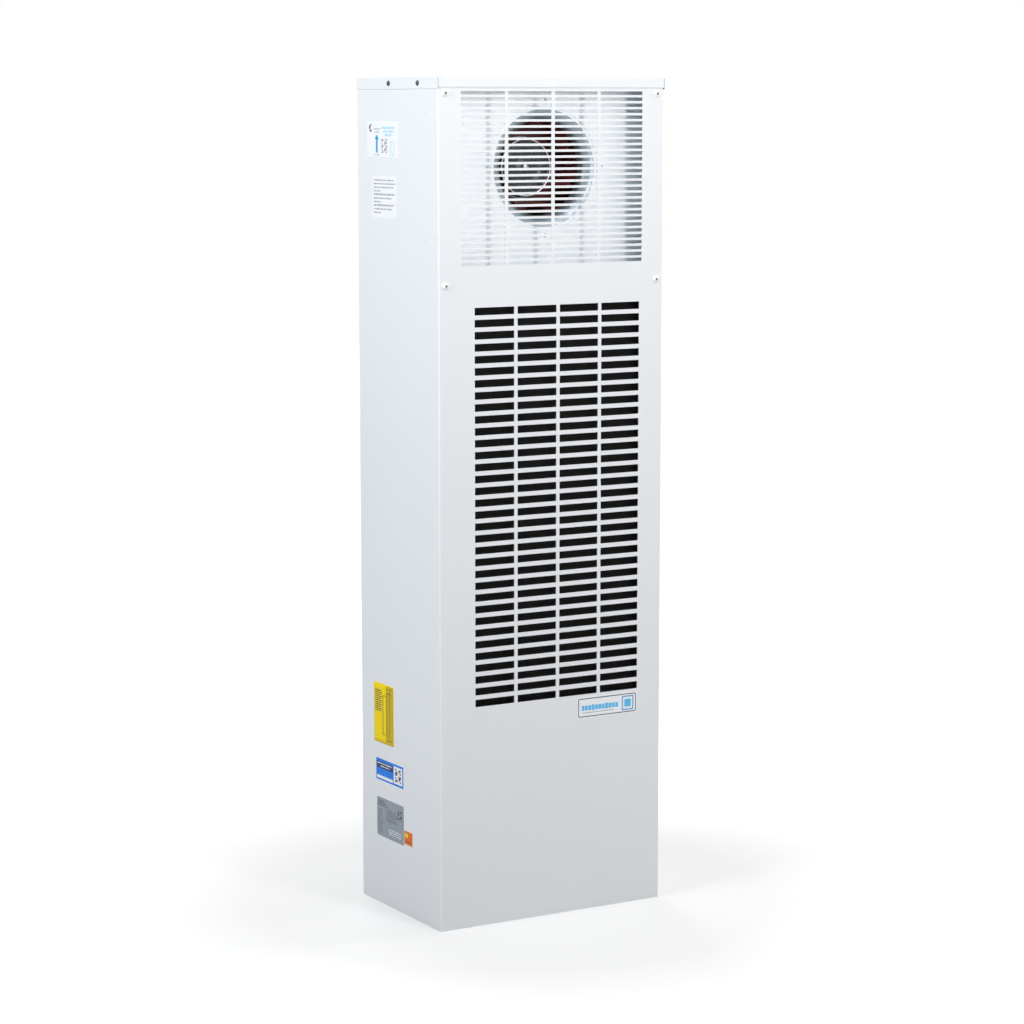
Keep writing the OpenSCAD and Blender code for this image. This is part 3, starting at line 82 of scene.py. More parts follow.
class Surface:
    """One principled material whose colour, roughness and bump come from procedural nodes."""

    def __init__(self, name, colour, roughness, metallic=0.0, **sockets):
        self.material = bpy.data.materials.new(name)
        self.material.use_nodes = True
        self.material.diffuse_color = (*colour, 1)
        self.tree = self.material.node_tree
        self.shader = self.tree.nodes["Principled BSDF"]
        self.shader.inputs["Metallic"].default_value = metallic
        self.shader.inputs["Roughness"].default_value = roughness
        self.shader.inputs["Base Color"].default_value = (*colour, 1)
        for socket, value in sockets.items():
            self.shader.inputs[socket.replace("_", " ")].default_value = value
        self.colour = colour
        self.roughness = roughness
        self.place = self.add("ShaderNodeTexCoord").outputs["Object"]
        self.height = None

    def add(self, kind):
        return self.tree.nodes.new(kind)

    def link(self, a, b):
        self.tree.links.new(a, b)

    def noise(self, scale, detail=3, stretch=None):
        node = self.add("ShaderNodeTexNoise")
        node.inputs["Scale"].default_value = scale
        node.inputs["Detail"].default_value = detail
        self.link(self.stretched(stretch), node.inputs["Vector"])
        return node.outputs["Fac"]

    def cells(self, scale, output="Color"):
        node = self.add("ShaderNodeTexVoronoi")
        node.inputs["Scale"].default_value = scale
        self.link(self.place, node.inputs["Vector"])
        return node.outputs[output]

    def stretched(self, stretch):
        if stretch is None:
            return self.place
        node = self.add("ShaderNodeMapping")
        node.inputs["Scale"].default_value = stretch
        self.link(self.place, node.inputs["Vector"])
        return node.outputs["Vector"]

    def ramp(self, value, low, high, start, end):
        node = self.add("ShaderNodeMapRange")
        node.inputs["From Min"].default_value = start
        node.inputs["From Max"].default_value = end
        node.inputs["To Min"].default_value = low
        node.inputs["To Max"].default_value = high
        self.link(value, node.inputs["Value"])
        return node.outputs["Result"]

    def tint(self, value, other, share=1.0, start=NOISE_LOW, end=NOISE_HIGH):
        """Mixes towards another colour where the value is high."""
        node = self.add("ShaderNodeMix")
        node.data_type = "RGBA"
        self.link(self.ramp(value, 0, share, start, end), node.inputs["Factor"])
        here = self.shader.inputs["Base Color"]
        if here.is_linked:
            self.link(here.links[0].from_socket, node.inputs["A"])
        else:
            node.inputs["A"].default_value = (*self.colour, 1)
        node.inputs["B"].default_value = (*other, 1)
        self.link(node.outputs["Result"], here)

    def painted_inner_side_shade(self, colour):
        """Paints shade: a darker colour where a face far out to one side looks back to the middle, on
        the side walls' inner faces.
        """
        inward = self.add("ShaderNodeVectorMath")
        inward.operation = "MULTIPLY"
        self.link(self.place, inward.inputs[0])
        self.link(self.place.node.outputs["Normal"], inward.inputs[1])
        across = self.add("ShaderNodeSeparateXYZ")
        self.link(inward.outputs["Vector"], across.inputs["Vector"])
        self.tint(across.outputs["X"], colour, 1, -SIDE_SHADE_FROM, -SIDE_SHADE_FULL)

    def rough(self, value, spread, start=NOISE_LOW, end=NOISE_HIGH):
        low, high = self.roughness - spread, self.roughness + spread
        self.link(self.ramp(value, low, high, start, end), self.shader.inputs["Roughness"])

    def bump(self, value, distance, strength):
        node = self.add("ShaderNodeBump")
        node.inputs["Distance"].default_value = distance
        node.inputs["Strength"].default_value = strength
        self.link(value, node.inputs["Height"])
        if self.height is not None:
            self.link(self.height, node.inputs["Normal"])
        self.height = node.outputs["Normal"]
        self.link(self.height, self.shader.inputs["Normal"])


def scaled(colour, factor):
    return tuple(min(1.0, c * factor) for c in colour)


def powder_coat(name, colour):
    s = Surface(name, colour, 0.42, IOR=1.5)
    s.tint(s.noise(1500, 2), scaled(colour, 0.95))
    s.tint(s.noise(3, 2), scaled(colour, 0.985))
    s.rough(s.noise(700, 2), 0.06)
    s.bump(s.noise(620, 2), 0.00012, 0.5)
    # Painted shade on the side walls' inner faces
    s.painted_inner_side_shade(PAINTED_SHADE_ON_COAT)
    return s.material


def galvanised(name, colour, roughness, metallic, side_shade=None):
    s = Surface(name, colour, roughness, metallic)
    spangle = s.add("ShaderNodeSeparateColor")
    s.link(s.cells(150), spangle.inputs["Color"])
    cooler = (colour[0] * 0.90, colour[1] * 0.94, colour[2] * 0.97)
    s.tint(spangle.outputs["Red"], cooler, 1, 0, 1)
    s.tint(s.noise(420, 4), scaled(colour, 1.04), 0.5)
    s.rough(spangle.outputs["Green"], 0.07, 0, 1)
    s.bump(s.noise(600, 3), 0.00002, 0.3)
    # Painted shade on the side walls' inner faces, where a colour for it is given
    if side_shade:
        s.painted_inner_side_shade(side_shade)
    return s.material


def metal(name, colour, roughness=0.3, grain=(1, 1, 1), dark=0.8):
    s = Surface(name, colour, roughness, 1.0)
    s.tint(s.noise(300, 4, grain), scaled(colour, dark), 0.8)
    s.tint(s.noise(40, 3), scaled(colour, dark), 0.5)
    s.rough(s.noise(500, 3, grain), 0.08)
    s.bump(s.noise(900, 2, grain), 0.00003, 0.4)
    return s.material


def plastic(name, colour, roughness=0.45, light=1.35):
    s = Surface(name, colour, roughness)
    s.tint(s.noise(900, 2), scaled(colour, light), 0.7)
    s.tint(s.noise(25, 3), scaled(colour, light), 0.4)
    s.rough(s.noise(350, 3), 0.07)
    s.bump(s.noise(1100, 2), 0.00005, 0.4)
    return s.material


def rubber(name, colour, pores):
    s = Surface(name, colour, 0.85)
    s.tint(s.noise(pores, 3), scaled(colour, 1.8), 0.8)
    s.rough(s.noise(pores, 2), 0.08)
    s.bump(s.cells(pores, "Distance"), 0.0006, 0.6)
    return s.material


def foil(name, colour):
    s = Surface(name, colour, 0.5, 0.25)
    s.tint(s.noise(600, 3, (1, 1, 40)), scaled(colour, 1.12))
    s.rough(s.noise(90, 3), 0.06)
    s.bump(s.noise(35, 3), 0.0001, 0.2)
    return s.material


def film(name, colour, roughness=0.5):
    s = Surface(name, colour, roughness, Specular_IOR_Level=0.25)
    s.tint(s.noise(1200, 2), scaled(colour, 0.96))
    s.rough(s.noise(60, 3), 0.05)
    s.bump(s.noise(35, 3), 0.0002, 0.25)
    return s.material


MATERIALS = {
    "painted_sheet": powder_coat("powder_coat", (0.84, 0.862, 0.885)),
    "painted_screws": powder_coat("screw_paint", (0.88, 0.89, 0.90)),
    # The fan plate's zinc: a far brighter copy of the zinc sheet, so painted light, with painted shade
    # on the side walls' inner faces
    "galvanised_sheet": galvanised("galvanised", (0.96, 0.975, 0.99), 0.6, 0.47, PAINTED_SHADE_ON_ZINC),
    "dark_screws": metal("dark_zinc", (0.10, 0.10, 0.105), 0.38),
    "zinc_sheet": galvanised("zinc_sheet", (0.60, 0.64, 0.67), 0.42, 0.55),
    # The nozzles' rolled rings: a darker copy of the zinc, painted shade
    "nozzle_zinc_painted_shade": galvanised("nozzle_zinc_painted_shade", (0.36, 0.41, 0.45), 0.38, 0.8),
    "zinc_steel": metal("bright_zinc", (0.66, 0.67, 0.69), 0.32),
    "gasket_rubber": rubber("gasket_foam_rubber", (0.05, 0.05, 0.05), 900),
    "foam": rubber("insulating_foam", (0.12, 0.12, 0.13), 500),
    "white_label": film("label_white", (0.92, 0.93, 0.95)),
    "metal_label": foil("label_foil", (0.25, 0.285, 0.33)),
    "yellow_card": film("card_yellow", (1.0, 0.76, 0.003), 0.6),
    "black_enamel": plastic("enamel_black", (0.03, 0.03, 0.035), 0.28),
    "black_plastic": plastic("plastic_black", (0.04, 0.04, 0.045), 0.45),
    "wheel_red": plastic("wheel_maroon", (0.26, 0.040, 0.028), 0.36),
    # The ambient wheel's back plate: a darker copy of the maroon, painted shade deep in the wheel
    "wheel_dark_red": plastic("wheel_maroon_painted_shade", (0.11, 0.022, 0.018), 0.4),
    "wheel_black": plastic("wheel_black", (0.04, 0.04, 0.045), 0.4),
    "black_fins": plastic("fin_coat_black", (0.036, 0.035, 0.034), 0.40, 1.8),
    "bare_fins": metal("fin_aluminium", (0.78, 0.80, 0.82), 0.35),
    "copper": metal("copper", (0.72, 0.40, 0.26), 0.3, (1, 1, 1), 0.6),
    "brass": metal("brass", (0.75, 0.60, 0.30), 0.28),
    "grey_hose": rubber("hose_grey", (0.25, 0.26, 0.27), 1200),
    "circuit_board": plastic("board_green", (0.06, 0.26, 0.13), 0.35),
    "bare_aluminium": metal("aluminium", (0.75, 0.77, 0.79), 0.3, (1, 1, 20)),
    "terminal_plastic": plastic("terminal_cream", (0.72, 0.72, 0.68), 0.45, 0.92),
}

INKS = {
    "ink_blue": film("ink_blue", (0.004, 0.215, 0.82)),
    "ink_arrow": film("ink_arrow", (0.01, 0.33, 0.70)),
    "ink_sky": film("ink_sky", (0.13, 0.54, 0.90)),
    "badge_white": film("badge_film", (0.93, 0.945, 0.97), 0.4),
    "ink_navy": film("ink_navy", (0.006, 0.02, 0.09)),
    "ink_pale_blue": film("ink_pale_blue", (0.42, 0.76, 0.90)),
    "ink_grey": film("ink_grey", (0.38, 0.39, 0.43)),
    "ink_orange": film("ink_orange", (0.78, 0.16, 0.01)),
    "gap_shadow": film("gap_shadow", (0.03, 0.032, 0.036), 0.8),
    # Painted shade deep in the front screws' recesses
    "recess_shade_grey": film("recess_shade_grey", (0.20, 0.205, 0.22)),
    # Dark print, and painted shade deep in the other screws' recesses
    "dark_ink_and_painted_shade": film("dark_ink_and_painted_shade", (0.03, 0.03, 0.04)),
    "ink_card": film("ink_card", (0.93, 0.72, 0.01)),
    # A darker copy of the card's yellow for the fold: painted shade
    "card_fold_painted_shade": film("card_fold_painted_shade", (0.68, 0.47, 0.003), 0.6),
}


def material_of(key):
    return MATERIALS.get(key) or INKS[key]


# Making pieces

SAME_PLACE = 1e-7            # m, below which two points are one


def piece(name, bm, finish, body="root", sharp=32.0):
    """Turns a bmesh into a piece with a material and a body."""
    mesh = bpy.data.meshes.new(name)
    bmesh.ops.remove_doubles(bm, verts=bm.verts, dist=SAME_PLACE)
    bmesh.ops.recalc_face_normals(bm, faces=bm.faces)
    bm.to_mesh(mesh)
    bm.free()
    mesh.shade_smooth()
    mesh.set_sharp_from_angle(angle=math.radians(sharp))
    mesh.materials.append(material_of(finish))
    obj = bpy.data.objects.new(name, mesh)
    bpy.context.scene.collection.objects.link(obj)
    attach(obj, body)
    return obj


def basis(axis):
    """Two directions across an axis, and the axis."""
    axis = Vector(axis).normalized()
    side = UP.cross(axis) if abs(axis.z) < 0.9 else RIGHT.cross(axis)
    side.normalize()
    return side, axis.cross(side), axis


def lathe(bm, profile, centre, axis, segments, lobes=None):
    """Turns (radius, height) points about an axis. A lobe table gives points a wavy radius."""
    u, v, w = basis(axis)
    centre = Vector(centre)
    rings = []
    for index, (r, h) in enumerate(profile):
        if r <= 0:
            rings.append([bm.verts.new(centre + w * h)])
            continue
        wave = (lobes or {}).get(index, (0, 0))
        ring = []
        for k in range(segments):
            a = 2 * math.pi * k / segments
            radius = r * (1 + wave[0] * math.cos(wave[1] * a))
            ring.append(bm.verts.new(centre + w * h + (u * math.cos(a) + v * math.sin(a)) * radius))
        rings.append(ring)
    for a, b in zip(rings, rings[1:]):
        for k in range(segments):
            n = (k + 1) % segments
            if len(a) == 1 and len(b) == 1:
                break
            if len(a) == 1:
                bm.faces.new((a[0], b[k], b[n]))
            elif len(b) == 1:
                bm.faces.new((a[k], a[n], b[0]))
            else:
                bm.faces.new((a[k], a[n], b[n], b[k]))


def closed_lathe(bm, profile, centre, axis, segments, lobes=None):
    lathe(bm, list(profile) + [profile[0]], centre, axis, segments, lobes)


def eased_box(bm, low, high, bevel):
    low, high = Vector(low), Vector(high)
    verts = bmesh.ops.create_cube(bm, size=1.0)["verts"]
    bmesh.ops.scale(bm, vec=high - low, verts=verts)
    bmesh.ops.translate(bm, vec=(low + high) / 2, verts=verts)
    edges = list(dict.fromkeys(e for v in verts for e in v.link_edges))
    bmesh.ops.bevel(bm, geom=edges, offset=bevel, segments=2, affect="EDGES", profile=0.5)


def strip_faces(bm, a, b):
    """Joins two rings of points, one quad for each side."""
    for k in range(len(a)):
        n = (k + 1) % len(a)
        bm.faces.new((a[k], a[n], b[n], b[k]))


def turned(cx, cy, r, angle):
    return cx + r * math.cos(math.radians(angle)), cy + r * math.sin(math.radians(angle))


def arc(cx, cy, r, start, end, steps):
    return [turned(cx, cy, r, start + (end - start) * k / steps) for k in range(steps + 1)]


def rounded_outline(w, h, r, steps=6):
    points = []
    for cx, cy, start in ((w / 2 - r, h / 2 - r, 0), (-w / 2 + r, h / 2 - r, 90),
                          (-w / 2 + r, -h / 2 + r, 180), (w / 2 - r, -h / 2 + r, 270)):
        points += arc(cx, cy, r, start, start + 90, steps)
    return points


def sheet(bm, outline, origin, across, out, thick, hole=None, edge=0.0):
    """An upright flat sheet, whose face lies a thickness out of its origin. Its edges may be eased."""
    def ring(points, depth, inset=0.0):
        made = []
        for x, y in points:
            length = math.hypot(x, y) or 1
            made.append(bm.verts.new(origin + across * (x - inset * x / length)
                                     + UP * (y - inset * y / length) + out * depth))
        return made
    outer = [ring(outline, 0), ring(outline, thick - edge), ring(outline, thick, edge)]
    strip_faces(bm, outer[0], outer[1])
    strip_faces(bm, outer[1], outer[2])
    if hole is None:
        bm.faces.new(outer[2])
        bm.faces.new(list(reversed(outer[0])))
        return
    inner = [ring(hole, thick), ring(hole, 0)]
    strip_faces(bm, outer[2], inner[0])
    strip_faces(bm, inner[0], inner[1])
    strip_faces(bm, inner[1], outer[0])


# Screws and rivets

STAR, CROSS = (0.16, 6), (0.3, 4)     # a recess: how far its arms reach, as a share, and their number
HEAD_SEGMENTS = 48


def screw_head(bm, place, axis, r, h, recess):
    """A domed, flanged head with a recess that is cut into it."""
    hole = r * 0.36
    profile = [(r, 0), (r, h * 0.2), (r * 0.97, h * 0.28), (r * 0.78, h * 0.36)]
    for angle in (15, 35, 55, 75):
        x, y = turned(0, 0, 1, angle)
        profile.append((r * (0.36 + 0.40 * x), h * (0.36 + 0.64 * y)))
    profile += [(hole * 1.12, h), (hole, h * 0.95), (hole * 0.96, h * 0.42), (0, h * 0.34)]
    last = len(profile) - 1
    lathe(bm, profile, place, axis, HEAD_SEGMENTS, {last - 2: recess, last - 1: recess})


def painted_shade_in_recess(bm, place, axis, r, h, recess):
    """A thin dark disc at the bottom of a recess: painted shade."""
    middle, rim, low, high = 0.02 * MM, r * 0.33, h * 0.44, h * 0.52
    closed_lathe(bm, [(middle, low), (rim, low), (rim, high), (middle, high)], place, axis,
                 HEAD_SEGMENTS, {1: recess, 2: recess})


def shank(bm, place, axis, r, length):
    """A threaded shank as stacked ridges, behind a head's seat."""
    turns = 6
    profile = [(r * 0.8, 0)]
    for k in range(turns):
        base = -length * (k + 0.25) / turns
        profile += [(r * 0.82, base), (r, base - length * 0.3 / turns),
                    (r * 0.82, base - length * 0.6 / turns)]
    profile += [(r * 0.7, -length * 0.98), (0, -length)]
    lathe(bm, profile, place, axis, 24)


def solids_of(node):
    """Boxes of a node's separate solids."""
    mesh = nodes[node].data
    parent = list(range(len(mesh.vertices)))

    def root(a):
        while parent[a] != a:
            parent[a] = parent[parent[a]]
            a = parent[a]
        return a
    places = {}
    for v in mesh.vertices:
        key = tuple(round(c, 6) for c in v.co)
        if key in places:
            parent[root(v.index)] = root(places[key])
        else:
            places[key] = v.index
    for e in mesh.edges:
        a, b = root(e.vertices[0]), root(e.vertices[1])
        if a != b:
            parent[a] = b
    groups = {}
    for v in mesh.vertices:
        groups.setdefault(root(v.index), []).append(v.co)
    boxes = [tuple(Vector([end(p[i] for p in points) for i in range(3)]) for end in (min, max))
             for points in groups.values()]
    return sorted(boxes, key=lambda b: tuple(round(c, 4) for c in b[0]))


def seat_of(low, high, axis, head_h):
    """The middle of a head's seat, from its solid's box."""
    tip = (low + high) / 2
    for i in range(3):
        if axis[i]:
            tip[i] = high[i] if axis[i] > 0 else low[i]
    return tip - axis * head_h


def sideways(low, high):
    return LEFT if (low.x + high.x) < 0 else RIGHT


def make_screws():
    # The last column is the colour of the painted shade deep in each recess
    kinds = (("cap_screws", "dark_screws", 5.2 * MM, 3.2 * MM, CROSS, "dark_ink_and_painted_shade"),
             ("cover_screws", "painted_screws", 7.2 * MM, 3.4 * MM, STAR, "recess_shade_grey"),
             ("small_screws", "zinc_steel", 3.8 * MM, 1.6 * MM, CROSS, "dark_ink_and_painted_shade"))
    front_ends = -0.05       # m, in front of which a lengthwise screw's head looks to the front
    for node, finish, r, h, recess, shade in kinds:
        bm, recess_shades = bmesh.new(), bmesh.new()
        for low, high in solids_of(node):
            size = high - low
            if size.x > size.y:
                axis, length, across = sideways(low, high), size.x, size.y
            else:
                axis = FRONT if (low.y + high.y) / 2 < front_ends else REAR
                length, across = size.y, size.x
            seat = seat_of(low, high, axis, h)
            screw_head(bm, seat, axis, r, h, recess)
            # A dark disc deep in the recess: painted shade
            painted_shade_in_recess(recess_shades, seat, axis, r, h, recess)
            shank(bm, seat, axis, min(across, size.z) * 0.26, length - h)
        made = piece(node + "_detail", bm, finish, sharp=40)
        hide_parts(node)
        piece(node + "_recess", recess_shades, shade, sharp=40)


def make_rivets():
    h, r, stem = 0.7 * MM, 3.2 * MM, 2.0 * MM
    bm = bmesh.new()
    for low, high in solids_of("side_rivets"):
        axis = sideways(low, high)
        seat = seat_of(low, high, axis, h)
        profile = [(r, 0)]
        for angle in (10, 30, 50, 70, 88):
            x, y = turned(0, 0, 1, angle)
            profile.append((r * (0.25 + 0.75 * x), h * y))
        profile += [(r * 0.24, h * 0.9), (r * 0.22, h * 0.3), (0, h * 0.3)]
        lathe(bm, profile, seat, axis, 32)
        end = h - (high.x - low.x)
        lathe(bm, [(stem, 0), (stem, end), (0, end)], seat, axis, 24)
    made = piece("side_rivets_detail", bm, "painted_screws", sharp=40)
    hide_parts("side_rivets")


# Labels and plates. The thicknesses of their layers are shares of the node's own.

STICKER, STICKER_EDGE = 0.6, 0.3
INK, INK_STEP = 0.1, 0.12
BADGE, BADGE_EDGE, BADGE_INK = 0.8, 0.3, 0.12
LEAF, LEAF_BULGE = 0.1, 0.16
FOLD_AT, FOLD, RULING_AT, RULING = 0.72, 0.12, 0.86, 0.05


def from_shares(shape, w, h):
    """Shares of a label's size, from its lower rear corner, as places about its middle."""
    return [((x - 0.5) * w, (y - 0.5) * h) for x, y in shape]


def label(name, low, high, finish, r, prints):
    """A sticker on the left side, with flat printed shapes that lie one layer over the other."""
    thick = high.x - low.x
    w, h = high.y - low.y, high.z - low.z
    bm = bmesh.new()
    origin = Vector((high.x, (low.y + high.y) / 2, (low.z + high.z) / 2))
    outline = rounded_outline(w, h, r * MM)
    sheet(bm, outline, origin, FRONT, LEFT, thick * STICKER, edge=thick * STICKER_EDGE)
    made = piece(name, bm, finish)
    for index, (ink, shapes) in enumerate(prints):
        bm = bmesh.new()
        ink_at = origin + LEFT * thick * (STICKER + INK_STEP * index)
        for shape in shapes:
            sheet(bm, from_shares(shape, w, h), ink_at, FRONT, LEFT, thick * INK)
        mark = piece(f"{name}_print_{index}", bm, ink)
        mark.parent = made
        mark.matrix_parent_inverse = Matrix.Identity(4)
    return made


def bar(x0, y0, x1, y1):
    return ((x0, y0), (x1, y0), (x1, y1), (x0, y1))


def frame_bars(x0, y0, x1, y1, line):
    return [bar(x0, y0, x1, y0 + line), bar(x0, y1 - line, x1, y1),
            bar(x0, y0 + line, x0 + line, y1 - line), bar(x1 - line, y0 + line, x1, y1 - line)]


def words(x0, x1, y, tall, seed):
    """A row of short bars, the look of small print without any letters."""
    row = []
    x = x0
    k = seed
    while x < x1:
        wide = 0.05 + 0.035 * ((k * 7) % 4)
        row.append(bar(x, y, min(x + wide, x1), y + tall))
        x += wide + 0.022
        k += 1
    return row


def code_block(x0, y0, x1, y1, columns, rows):
    """A mottled block of small squares that stands for a printed code and holds none."""
    w, h = (x1 - x0) / columns, (y1 - y0) / rows
    return [bar(x0 + w * i, y0 + h * j, x0 + w * (i + 0.96), y0 + h * (j + 0.96))
            for i in range(columns) for j in range(rows) if (i * i + 3 * j + i * j) % 5 < 3]


def make_labels():
    arrow, notice, blue, small = sorted(solids_of("notice_labels"), key=lambda b: -b[1].z)
    arrow_shape = ((0.29, 0.12), (0.345, 0.12), (0.345, 0.50), (0.385, 0.50), (0.3175, 0.63),
                   (0.25, 0.50), (0.29, 0.50))
    hook = ((0.145, 0.925), (0.100, 0.905), (0.072, 0.86), (0.070, 0.81), (0.085, 0.77),
            (0.120, 0.79), (0.108, 0.83), (0.115, 0.87), (0.150, 0.895))
    drop = ((0.085, 0.76), (0.140, 0.765), (0.160, 0.735), (0.135, 0.705), (0.095, 0.715))
    label("label_arrow", *arrow, "white_label", 2, (
        ("ink_arrow", [arrow_shape]),
        ("dark_ink_and_painted_shade", [hook, drop]),
        ("ink_pale_blue", words(0.47, 0.90, 0.79, 0.06, 1) + words(0.52, 0.87, 0.69, 0.05, 3)
         + words(0.58, 0.79, 0.59, 0.06, 2) + frame_bars(0.76, 0.05, 0.88, 0.45, 0.02)),
        ("ink_grey", code_block(0.47, 0.12, 0.655, 0.51, 6, 11) + words(0.22, 0.41, 0.77, 0.03, 2)
         + words(0.22, 0.41, 0.69, 0.025, 4) + words(0.25, 0.41, 0.05, 0.02, 1)),
    ))
    ends = (0.88, 0.95, 0.90, 0.34, 0.90, 0.80, 0.36, 0.86, 0.80, 0.36)
    rows = [word for k, end in enumerate(ends)
            for word in words(0.08, end, 0.885 - 0.086 * k, 0.030, k)]
    label("label_notice", *notice, "white_label", 2, (
        ("ink_grey", rows + [bar(0.08, 0.575, 0.96, 0.583), bar(0.08, 0.315, 0.96, 0.323)]),
    ))
    label("label_blue", *blue, "ink_blue", 1.5, (
        ("ink_navy", [bar(0.03, 0.56, 0.62, 0.86)]),
        ("white_label", [bar(0.65, 0.10, 0.965, 0.90), bar(0.03, 0.08, 0.62, 0.22)]
         + words(0.05, 0.58, 0.76, 0.05, 2) + words(0.16, 0.50, 0.64, 0.04, 5)),
        ("dark_ink_and_painted_shade", code_block(0.70, 0.20, 0.915, 0.80, 5, 8)),
    ))
    made = label("label_small", *small, "ink_orange", 1, (
        ("ink_card", [bar(0.12, 0.52, 0.46, 0.84)]),
        ("dark_ink_and_painted_shade", words(0.14, 0.86, 0.20, 0.05, 1)),
    ))
    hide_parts("notice_labels")
    dark = [word for k in range(3)
            for word in words(0.04, 0.30 + 0.05 * k, 0.90 - 0.055 * k, 0.022, k)]
    dark += [word for k in range(9) for word in words(0.04, 0.20, 0.66 - 0.07 * k, 0.016, k)]
    dark += code_block(0.77, 0.60, 0.93, 0.84, 5, 8)
    dark += [word for k in range(6)
             for word in words(0.36, 0.70 + 0.04 * (k % 3), 0.72 - 0.055 * k, 0.016, k)]
    pale = [word for k in range(3) for word in words(0.44, 0.90, 0.24 - 0.055 * k, 0.018, k)]
    prints = (("dark_ink_and_painted_shade", dark), ("white_label", pale))
    made = label("rating_foil", *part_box("rating_plate"), "metal_label", 3, prints)
    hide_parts("rating_plate")


def make_card():
    """The folded yellow card: a wide leaf, a shorter one on it, and a darker strip of painted shade
    for the fold at its front end.
    """
    low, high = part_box("instruction_tag")
    thick = high.x - low.x
    w, h = high.y - low.y, high.z - low.z
    bm = bmesh.new()
    rows, columns = 14, 10
    for reach, lift in ((1.0, 0.20), (0.66, 0.50)):
        grid = []
        for i in range(rows + 1):
            line = []
            for j in range(columns + 1):
                a, b = j / columns, i / rows
                bulge = math.sin(math.pi * b) * math.sin(math.pi * a) * LEAF_BULGE * thick
                x = high.x - thick * lift - bulge
                line.append(bm.verts.new((x, high.y - w * a * reach, low.z + h * b)))
            grid.append(line)
        for i in range(rows):
            for j in range(columns):
                bm.faces.new((grid[i][j], grid[i][j + 1], grid[i + 1][j + 1], grid[i + 1][j]))
    made = piece("card_leaves", bm, "yellow_card")
    solid = made.modifiers.new("thickness", "SOLIDIFY")
    solid.thickness = thick * LEAF
    solid.offset = 0
    middle = Vector((high.x, (low.y + high.y) / 2, (low.z + high.z) / 2))
    bm = bmesh.new()
    strip = rounded_outline(w * 0.36, h * 0.97, 1 * MM)
    place = middle + LEFT * thick * FOLD_AT + FRONT * w * 0.30
    sheet(bm, strip, place, FRONT, LEFT, thick * FOLD)
    # The darker fold strip is painted shade
    piece("card_fold_painted_shade", bm, "card_fold_painted_shade")
    bm = bmesh.new()
    shapes = [bar(0.06, 0.87 - 0.034 * k, 0.38 + 0.03 * (k % 2), 0.884 - 0.034 * k)
              for k in range(11)]
    shapes += [bar(0.45, 0.16, 0.475, 0.80), bar(0.45, 0.80, 0.60, 0.810),
               bar(0.45, 0.150, 0.60, 0.16), bar(0.66, 0.12, 0.685, 0.86),
               bar(0.80, 0.12, 0.820, 0.90), bar(0.66, 0.86, 0.90, 0.870)]
    shapes += words(0.66, 0.92, 0.07, 0.012, 1) + words(0.64, 0.90, 0.93, 0.012, 3)
    place = middle + LEFT * thick * RULING_AT
    for shape in shapes:
        sheet(bm, from_shares(shape, w, h), place, FRONT, LEFT, thick * RULING)
    piece("card_ruling", bm, "dark_ink_and_painted_shade")
    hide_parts("instruction_tag")


def make_badge():
    """The front badge: a pale plate with a dark border, a row of plain bars, a square and a rule."""
    low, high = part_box("front_badge")
    thick = high.y - low.y
    w, h = high.x - low.x, high.z - low.z
    origin = Vector(((low.x + high.x) / 2, high.y, (low.z + high.z) / 2))
    face = origin + FRONT * thick * BADGE
    square_at = RIGHT * w * 0.34

    def ink(bm, outline, shift, hole=None):
        sheet(bm, outline, face + shift, RIGHT, FRONT, thick * BADGE_INK, hole=hole)

    bm = bmesh.new()
    plate = rounded_outline(w, h, 5 * MM, 10)
    sheet(bm, plate, origin, RIGHT, FRONT, thick * BADGE, edge=thick * BADGE_EDGE)
    made = piece("badge_plate", bm, "badge_white")
    bm = bmesh.new()
    inset, line = 3.0 * MM, 1.6 * MM
    outer = rounded_outline(w - 2 * inset, h - 2 * inset, 3.4 * MM, 10)
    inner = rounded_outline(w - 2 * inset - 2 * line, h - 2 * inset - 2 * line, 2 * MM, 10)
    ink(bm, outer, Vector(), inner)
    piece("badge_border", bm, "dark_ink_and_painted_shade")
    bm = bmesh.new()
    line = 2.1 * MM
    hollow = rounded_outline(h * 0.62 - 2 * line, h * 0.66 - 2 * line, 1 * MM)
    ink(bm, rounded_outline(h * 0.62, h * 0.66, 1.5 * MM), square_at, hollow)
    piece("badge_field", bm, "ink_arrow")
    bm = bmesh.new()
    ink(bm, rounded_outline(h * 0.34, h * 0.36, 1.5 * MM), square_at)
    x = -0.42 * w
    for k in range(11):
        wide = (0.041 + 0.007 * (k % 3)) * w
        tall = h * (0.22 + 0.05 * (k * 3 % 4 == 1))
        ink(bm, rounded_outline(wide, tall, 0.7 * MM, 3), RIGHT * (x + wide / 2) - UP * h * 0.02)
        x += wide + 0.008 * w
    piece("badge_bars", bm, "ink_sky")
    bm = bmesh.new()
    ink(bm, rounded_outline(w * 0.52, 1.2 * MM, 0.5 * MM, 3), RIGHT * w * -0.15 - UP * h * 0.24)
    piece("badge_rule", bm, "ink_grey")
    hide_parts("front_badge")


def make_cap_seam_shadows():
    """Painted shadow: dark strips deep in the two open slits at the cap's front corners."""
    low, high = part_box("top_cap")
    from_side, from_front, below_top = 1.9 * MM, 0.75 * MM, 9.75 * MM
    strip = rounded_outline(0.78 * MM, 16 * MM, 0.1 * MM, 2)
    bm = bmesh.new()
    for x in (low.x + from_side, high.x - from_side):
        place = Vector((x, low.y + from_front, high.z - below_top))
        sheet(bm, strip, place, RIGHT, FRONT, 0.5 * MM)
    piece("cap_seam_shadows", bm, "gap_shadow")


# Fans. Each is made along an axis that points the way the air flows in

def air_side(low, high, axis):
    """The middle of a box's face on the side that the air comes from."""
    centre = (low + high) / 2
    return Vector((centre.x, low.y if axis.y > 0 else high.y, centre.z))


